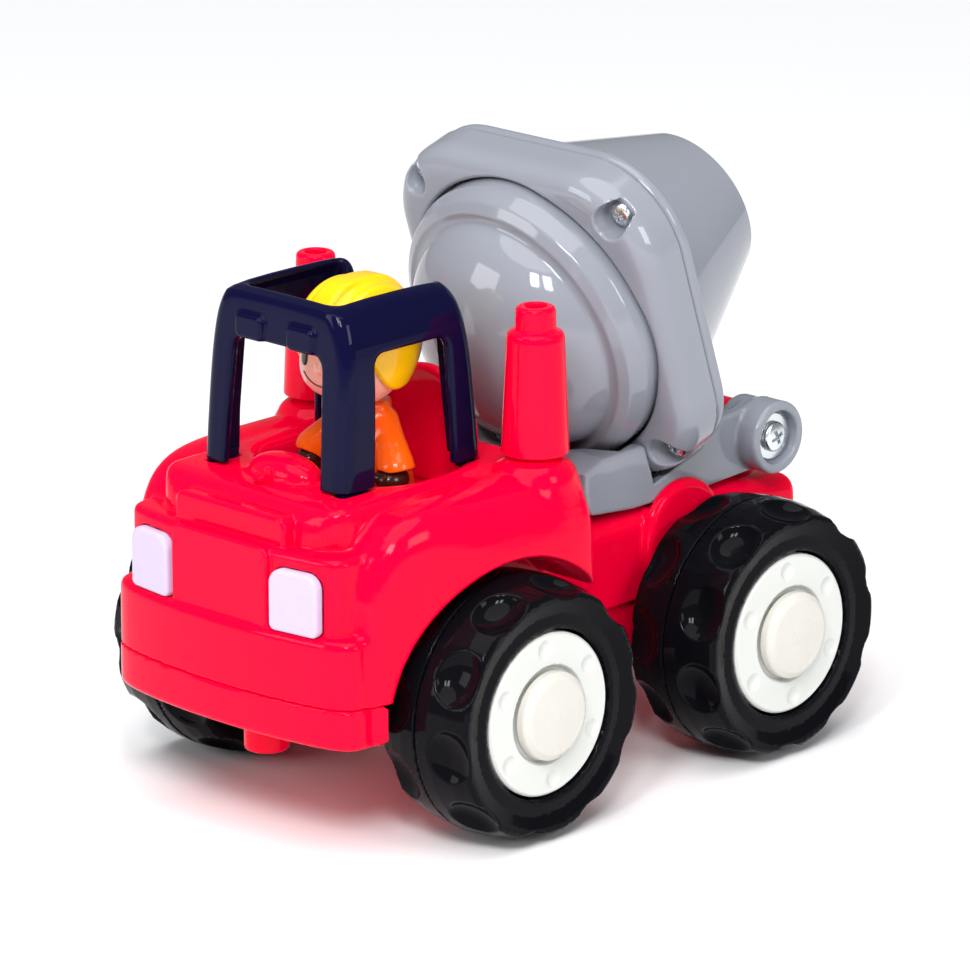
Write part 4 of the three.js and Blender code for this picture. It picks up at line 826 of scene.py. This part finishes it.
def coat_field(x, y, z):
    """The coat: a bell with sleeves that flare at the cuffs, a collar and a zip line at the back."""
    ax = np.abs(x)
    t = np.clip((z - 57) / 20, -0.2, 1.1)
    wide = 9.3 - 1.2 * t - 3.6 * t * t
    deep = 8.5 - 1.0 * t - 3.2 * t * t
    centre = -34 - 1.4 * t
    reach = np.sqrt((x / wide) ** 2 + ((y - centre) / deep) ** 2)
    body = common((reach - 1) * np.minimum(wide, deep) * 0.92, slab(z, 57.1, 77.2), 1.2)
    arm = capsule(ax, y, z, (5.0, -34.5, 73.6), (9.6, -37.2, 67.2), 2.3, 3.2)
    cuff = capsule(ax, y, z, (8.8, -36.8, 68.6), (10.8, -37.9, 65.8), 2.4, 3.6)
    cuff = common(cuff, (65.4 - z) + 0.25 * (ax - 10), 0.4)
    body = joined(1.6, body, common(arm, 65 - z, 0.5), cuff)
    collar = np.sqrt((np.sqrt(x * x + (y + 35.4) ** 2) - 4.4) ** 2 + (z - 76.4) ** 2) - 0.8
    body = union(body, common(collar, z - 77.1, 0.2), 0.6)
    zip_line = common(np.abs(x) - 0.25, y + 30, 0.1)
    body = less(body, common(zip_line, -(body + 0.35), 0.05), 0.15)
    hand = ellipsoid(ax, y, z, HAND, (3.05, 4.1, 2.95))
    return less(body, hand, 0.4)


def hand_field(x, y, z):
    palm = ellipsoid(x, y, z, HAND, (2.7, 3.6, 2.6))
    thumb = ellipsoid(x, y, z, (9.1, -40.6, 64.6), (1.2, 1.5, 1.1))
    return union(palm, thumb, 0.6)


def skull(x, y, z):
    """The head without its nose: a ball with full cheeks."""
    head = ellipsoid(x, y, z, (0, HEAD_Y + 0.4, 87.6), (10.4, 10.3, 10.0))
    cheeks = ellipsoid(np.abs(x), y, z, (3.2, HEAD_Y - 2.2, 83.4), (6.4, 6.6, 5.7))
    return union(head, cheeks, 2.5)


def head_field(x, y, z):
    head = skull(x, y, z)
    nose = ellipsoid(x, y, z, (0, HEAD_Y - 9.4, 84.9), (1.0, 0.9, 0.9))
    neck = common(disc(x, y, 0, -35.9, 3.3), slab(z, 77.6, 84), 0.4)
    return joined(0.8, head, nose, neck)


def helmet_field(x, y, z):
    """A hard hat: a dome down to the neck at the back, three ribs over the crown and a short peak."""
    ax = np.abs(x)
    dome = ellipsoid(x, y, z, (0, HEAD_Y + 0.8, 90.2), (11.7, 12.2, 10.4))
    rib = ellipsoid(x, y, z, (0, HEAD_Y + 0.4, 90.0), (30, 12.6, 11.7))
    rib = common(common(rib, ax - 2.7, 1), z - 101.3, 1.2)
    side_rib = ellipsoid(x, y, z, (0, HEAD_Y + 0.6, 90.1), (12.4, 12.2, 11.0))
    side_rib = common(side_rib, np.abs(ax - 5.6) - 0.8, 0.8)
    crown = joined(0.7, dome, rib, side_rib)
    crown = union(crown, skull(x, y, z) - 1.3, 1.2)
    edge = 80.6 + 11.0 / (1 + np.exp((y - HEAD_Y + 5.4) * 0.62))
    crown = common(crown, edge - z, 0.8)
    brim = ellipsoid(x, y, z, (0, HEAD_Y - 0.8, 90.6), (12.0, 13.0, 10.4))
    brim = common(brim, np.abs(z - edge - 0.75) - 0.7, 0.8)
    brim = common(brim, y - HEAD_Y + 1, 2)
    crown = union(crown, brim, 0.8)
    return less(crown, skull(x, y, z) - 0.25, 0.3)


def on_face(shape, x, y, z, proud):
    """A flat field's paint: the part of it that lies on the face, a little proud of the skin."""
    return common(shape, np.abs(skull(x, y, z) - 0.02) - proud, 0.15)


def eye_field(x, y, z):
    return on_face(ellipsoid(x, y, z, (4.3, HEAD_Y - 8.8, 86.6), (1.15, 1.8, 1.9)), x, y, z, 0.22)


def smile_field(x, y, z):
    arc = np.abs(np.sqrt(x * x + (z - 86.6) ** 2) - 5.6) - 0.22
    return on_face(common(arc, common(z - 83.6, y - HEAD_Y + 6, 0.1), 0.2), x, y, z, 0.16)


def driver():
    coat = surface(coat_field, (-15, -44, 56.5), (15, -25, 78), 0.32)
    piece("driver_coat", coat, ORANGE, "driver", "orange_plastic", ["driver_body"])
    head = surface(head_field, (-12.2, -50, 77), (12.2, -25, 98), 0.34)
    piece("driver_face", head, SKIN, "driver", "skin_plastic", ["driver_head"])
    helmet = surface(helmet_field, (-13.4, -52.6, 78.5), (13.4, -24, 102), 0.34)
    piece("driver_hard_hat", helmet, YELLOW, "driver", "yellow_plastic", ["driver_helmet"])
    smile = surface(smile_field, (-6, -51, 80), (6, -43, 85), 0.11)
    piece("driver_smile", smile, LIP, "driver", "skin_plastic")
    hand = surface(hand_field, (7, -43.5, 60.5), (14.5, -34, 67.5), 0.25)
    eye = surface(eye_field, (2.6, -51, 84), (6, -43, 89), 0.12)
    for name, side in SIDES:
        glove, pupil = (hand, eye) if side > 0 else (mirrored(hand), mirrored(eye))
        piece(f"driver_glove_{name}", glove, BROWN, "driver", "brown_plastic", [f"driver_hand_{name}"])
        piece(f"driver_eye_{name}", pupil, INK, "driver", "brown_plastic")


# ------------------------------------------------------------------------------------------ the drive inside
def coil(radius, wire, bottom, top, turns, steps=240, sides=10):
    """A coil spring about the Z axis, its wire's ends left open inside their seats."""
    angle = np.linspace(0, turns * 2 * math.pi, steps)[:, None]
    ring = (np.arange(sides) / sides * 2 * math.pi)[None, :]
    centre = np.linspace(bottom + wire, top - wire, steps)[:, None]

    def tube(out, rise):
        grid = np.broadcast_arrays(out * np.cos(angle), out * np.sin(angle), rise)
        return np.stack(grid, axis=2).reshape(-1, 3)

    vertices = tube(radius + wire * np.cos(ring), centre + wire * np.sin(ring))
    normals = tube(np.cos(ring), np.sin(ring))
    i, j = np.meshgrid(np.arange(steps - 1), np.arange(sides), indexing="ij")
    here, after, beside = i * sides, (i + 1) * sides, (j + 1) % sides
    quads = np.stack([here + j, after + j, after + beside, here + beside], axis=2)
    return vertices, quads.reshape(-1, 4), normals


GEARBOX = ("winding_gear", "swing_pinion", "axle_gear", "press_plunger", "gearbox_left", "gearbox_right")
GEARBOX_SCREWS = ("gearbox_screw_front", "gearbox_screw_rear")
SPRING_WIRE = 0.34


def drive():
    """The gears and casing keep their CAD shapes. The spring is a coil in the CAD spring's place."""
    for material, nodes in ((NATURAL, GEARBOX), (STEEL, GEARBOX_SCREWS)):
        for node in nodes:
            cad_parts[node].data.materials.clear()
            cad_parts[node].data.materials.append(material)
    low, high = (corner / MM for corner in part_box("return_spring"))
    middle = (low + high) / 2 - Vector((0, MID_Y, 0))
    radius = (high.x - low.x) / 2 - 0.35
    shape = coil(radius, SPRING_WIRE, low.z, high.z, turns=5)
    shape = placed(shape, Matrix.Translation((middle.x, middle.y, 0)))
    spring = piece("return_spring_coil", shape, STEEL, "chassis", "steel", ["return_spring"])
    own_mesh(spring)


# ------------------------------------------------------------------------------------------ stage
TRUCK_MIDDLE = (0, 0, 0.05)


def look(obj, at):
    obj.rotation_euler = (Vector(at) - obj.location).to_track_quat("-Z", "Y").to_euler()


def softbox(name, place, size, power):
    """A rectangle of light in metres and watts that faces the middle of the truck."""
    data = bpy.data.lights.new(name, "AREA")
    data.shape = "RECTANGLE"
    data.size, data.size_y = size
    data.energy = power
    light = bpy.data.objects.new(name, data)
    light.location = place
    bpy.context.scene.collection.objects.link(light)
    look(light, TRUCK_MIDDLE)


FLOOR_REACH = 3.0


def stage():
    """A pale floor, an even sky, two small panes for the highlights and a soft light on either side."""
    corners = [(x * FLOOR_REACH, y * FLOOR_REACH, 0) for x, y in ((-1, -1), (1, -1), (1, 1), (-1, 1))]
    floor_mesh = bpy.data.meshes.new("floor")
    floor_mesh.from_pydata(corners, [], [(0, 1, 2, 3)])
    floor = bpy.data.objects.new("floor", floor_mesh)
    bpy.context.scene.collection.objects.link(floor)
    paper = bpy.data.materials.new("paper")
    paper.use_nodes = True
    shader = paper.node_tree.nodes["Principled BSDF"]
    shader.inputs["Base Color"].default_value = (0.9, 0.9, 0.91, 1)
    shader.inputs["Roughness"].default_value = 0.6
    floor.data.materials.append(paper)
    world = bpy.data.worlds.new("studio")
    world.use_nodes = True
    background = world.node_tree.nodes["Background"]
    background.inputs["Color"].default_value = (0.94, 0.97, 1, 1)
    background.inputs["Strength"].default_value = 0.26
    bpy.context.scene.world = world
    sky = bpy.data.lights.new("sky", "SUN")
    sky.energy = 2.3
    sky.angle = math.radians(60)
    overhead = bpy.data.objects.new("sky", sky)
    overhead.location = (0.1, -0.2, 1)
    bpy.context.scene.collection.objects.link(overhead)
    look(overhead, (0, 0, 0))
    softbox("pane_left", (0.36, -0.66, 0.66), (0.13, 0.22), 3.4)
    softbox("pane_right", (0.54, -0.54, 0.66), (0.13, 0.22), 3.4)
    softbox("window", (0.95, 0.12, 0.42), (0.3, 0.36), 2.8)
    softbox("wall", (-0.36, -0.86, 0.42), (0.42, 0.4), 2.8)
    bpy.context.scene.view_settings.view_transform = "Standard"


CAMERA_AZIMUTH = math.radians(43.966)
CAMERA_ELEVATION = math.radians(16.59)
CAMERA_DISTANCE = 1223.965
CAMERA_TARGET = (0, -2.885, 53.092)
CAMERA_LENS = 237.5


def camera():
    """The photo's camera, solved from the ellipses of the wheels. Azimuth 0 looks at the truck's nose."""
    level = math.cos(CAMERA_ELEVATION)
    away = Vector((math.sin(CAMERA_AZIMUTH) * level, -math.cos(CAMERA_AZIMUTH) * level,
                   math.sin(CAMERA_ELEVATION)))
    target = (Vector(CAMERA_TARGET) + Vector((0, MID_Y, 0))) * MM
    data = bpy.data.cameras.new("camera")
    data.lens = CAMERA_LENS
    data.sensor_width = 36
    data.clip_start = 0.01
    eye = bpy.data.objects.new("camera", data)
    eye.location = target + away * CAMERA_DISTANCE * MM
    look(eye, target)
    bpy.context.scene.collection.objects.link(eye)
    bpy.context.scene.camera = eye


camera()
stage()
cab()
cage()
chassis()
wheels()
bed()
drum()
fasteners()
driver()
drive()
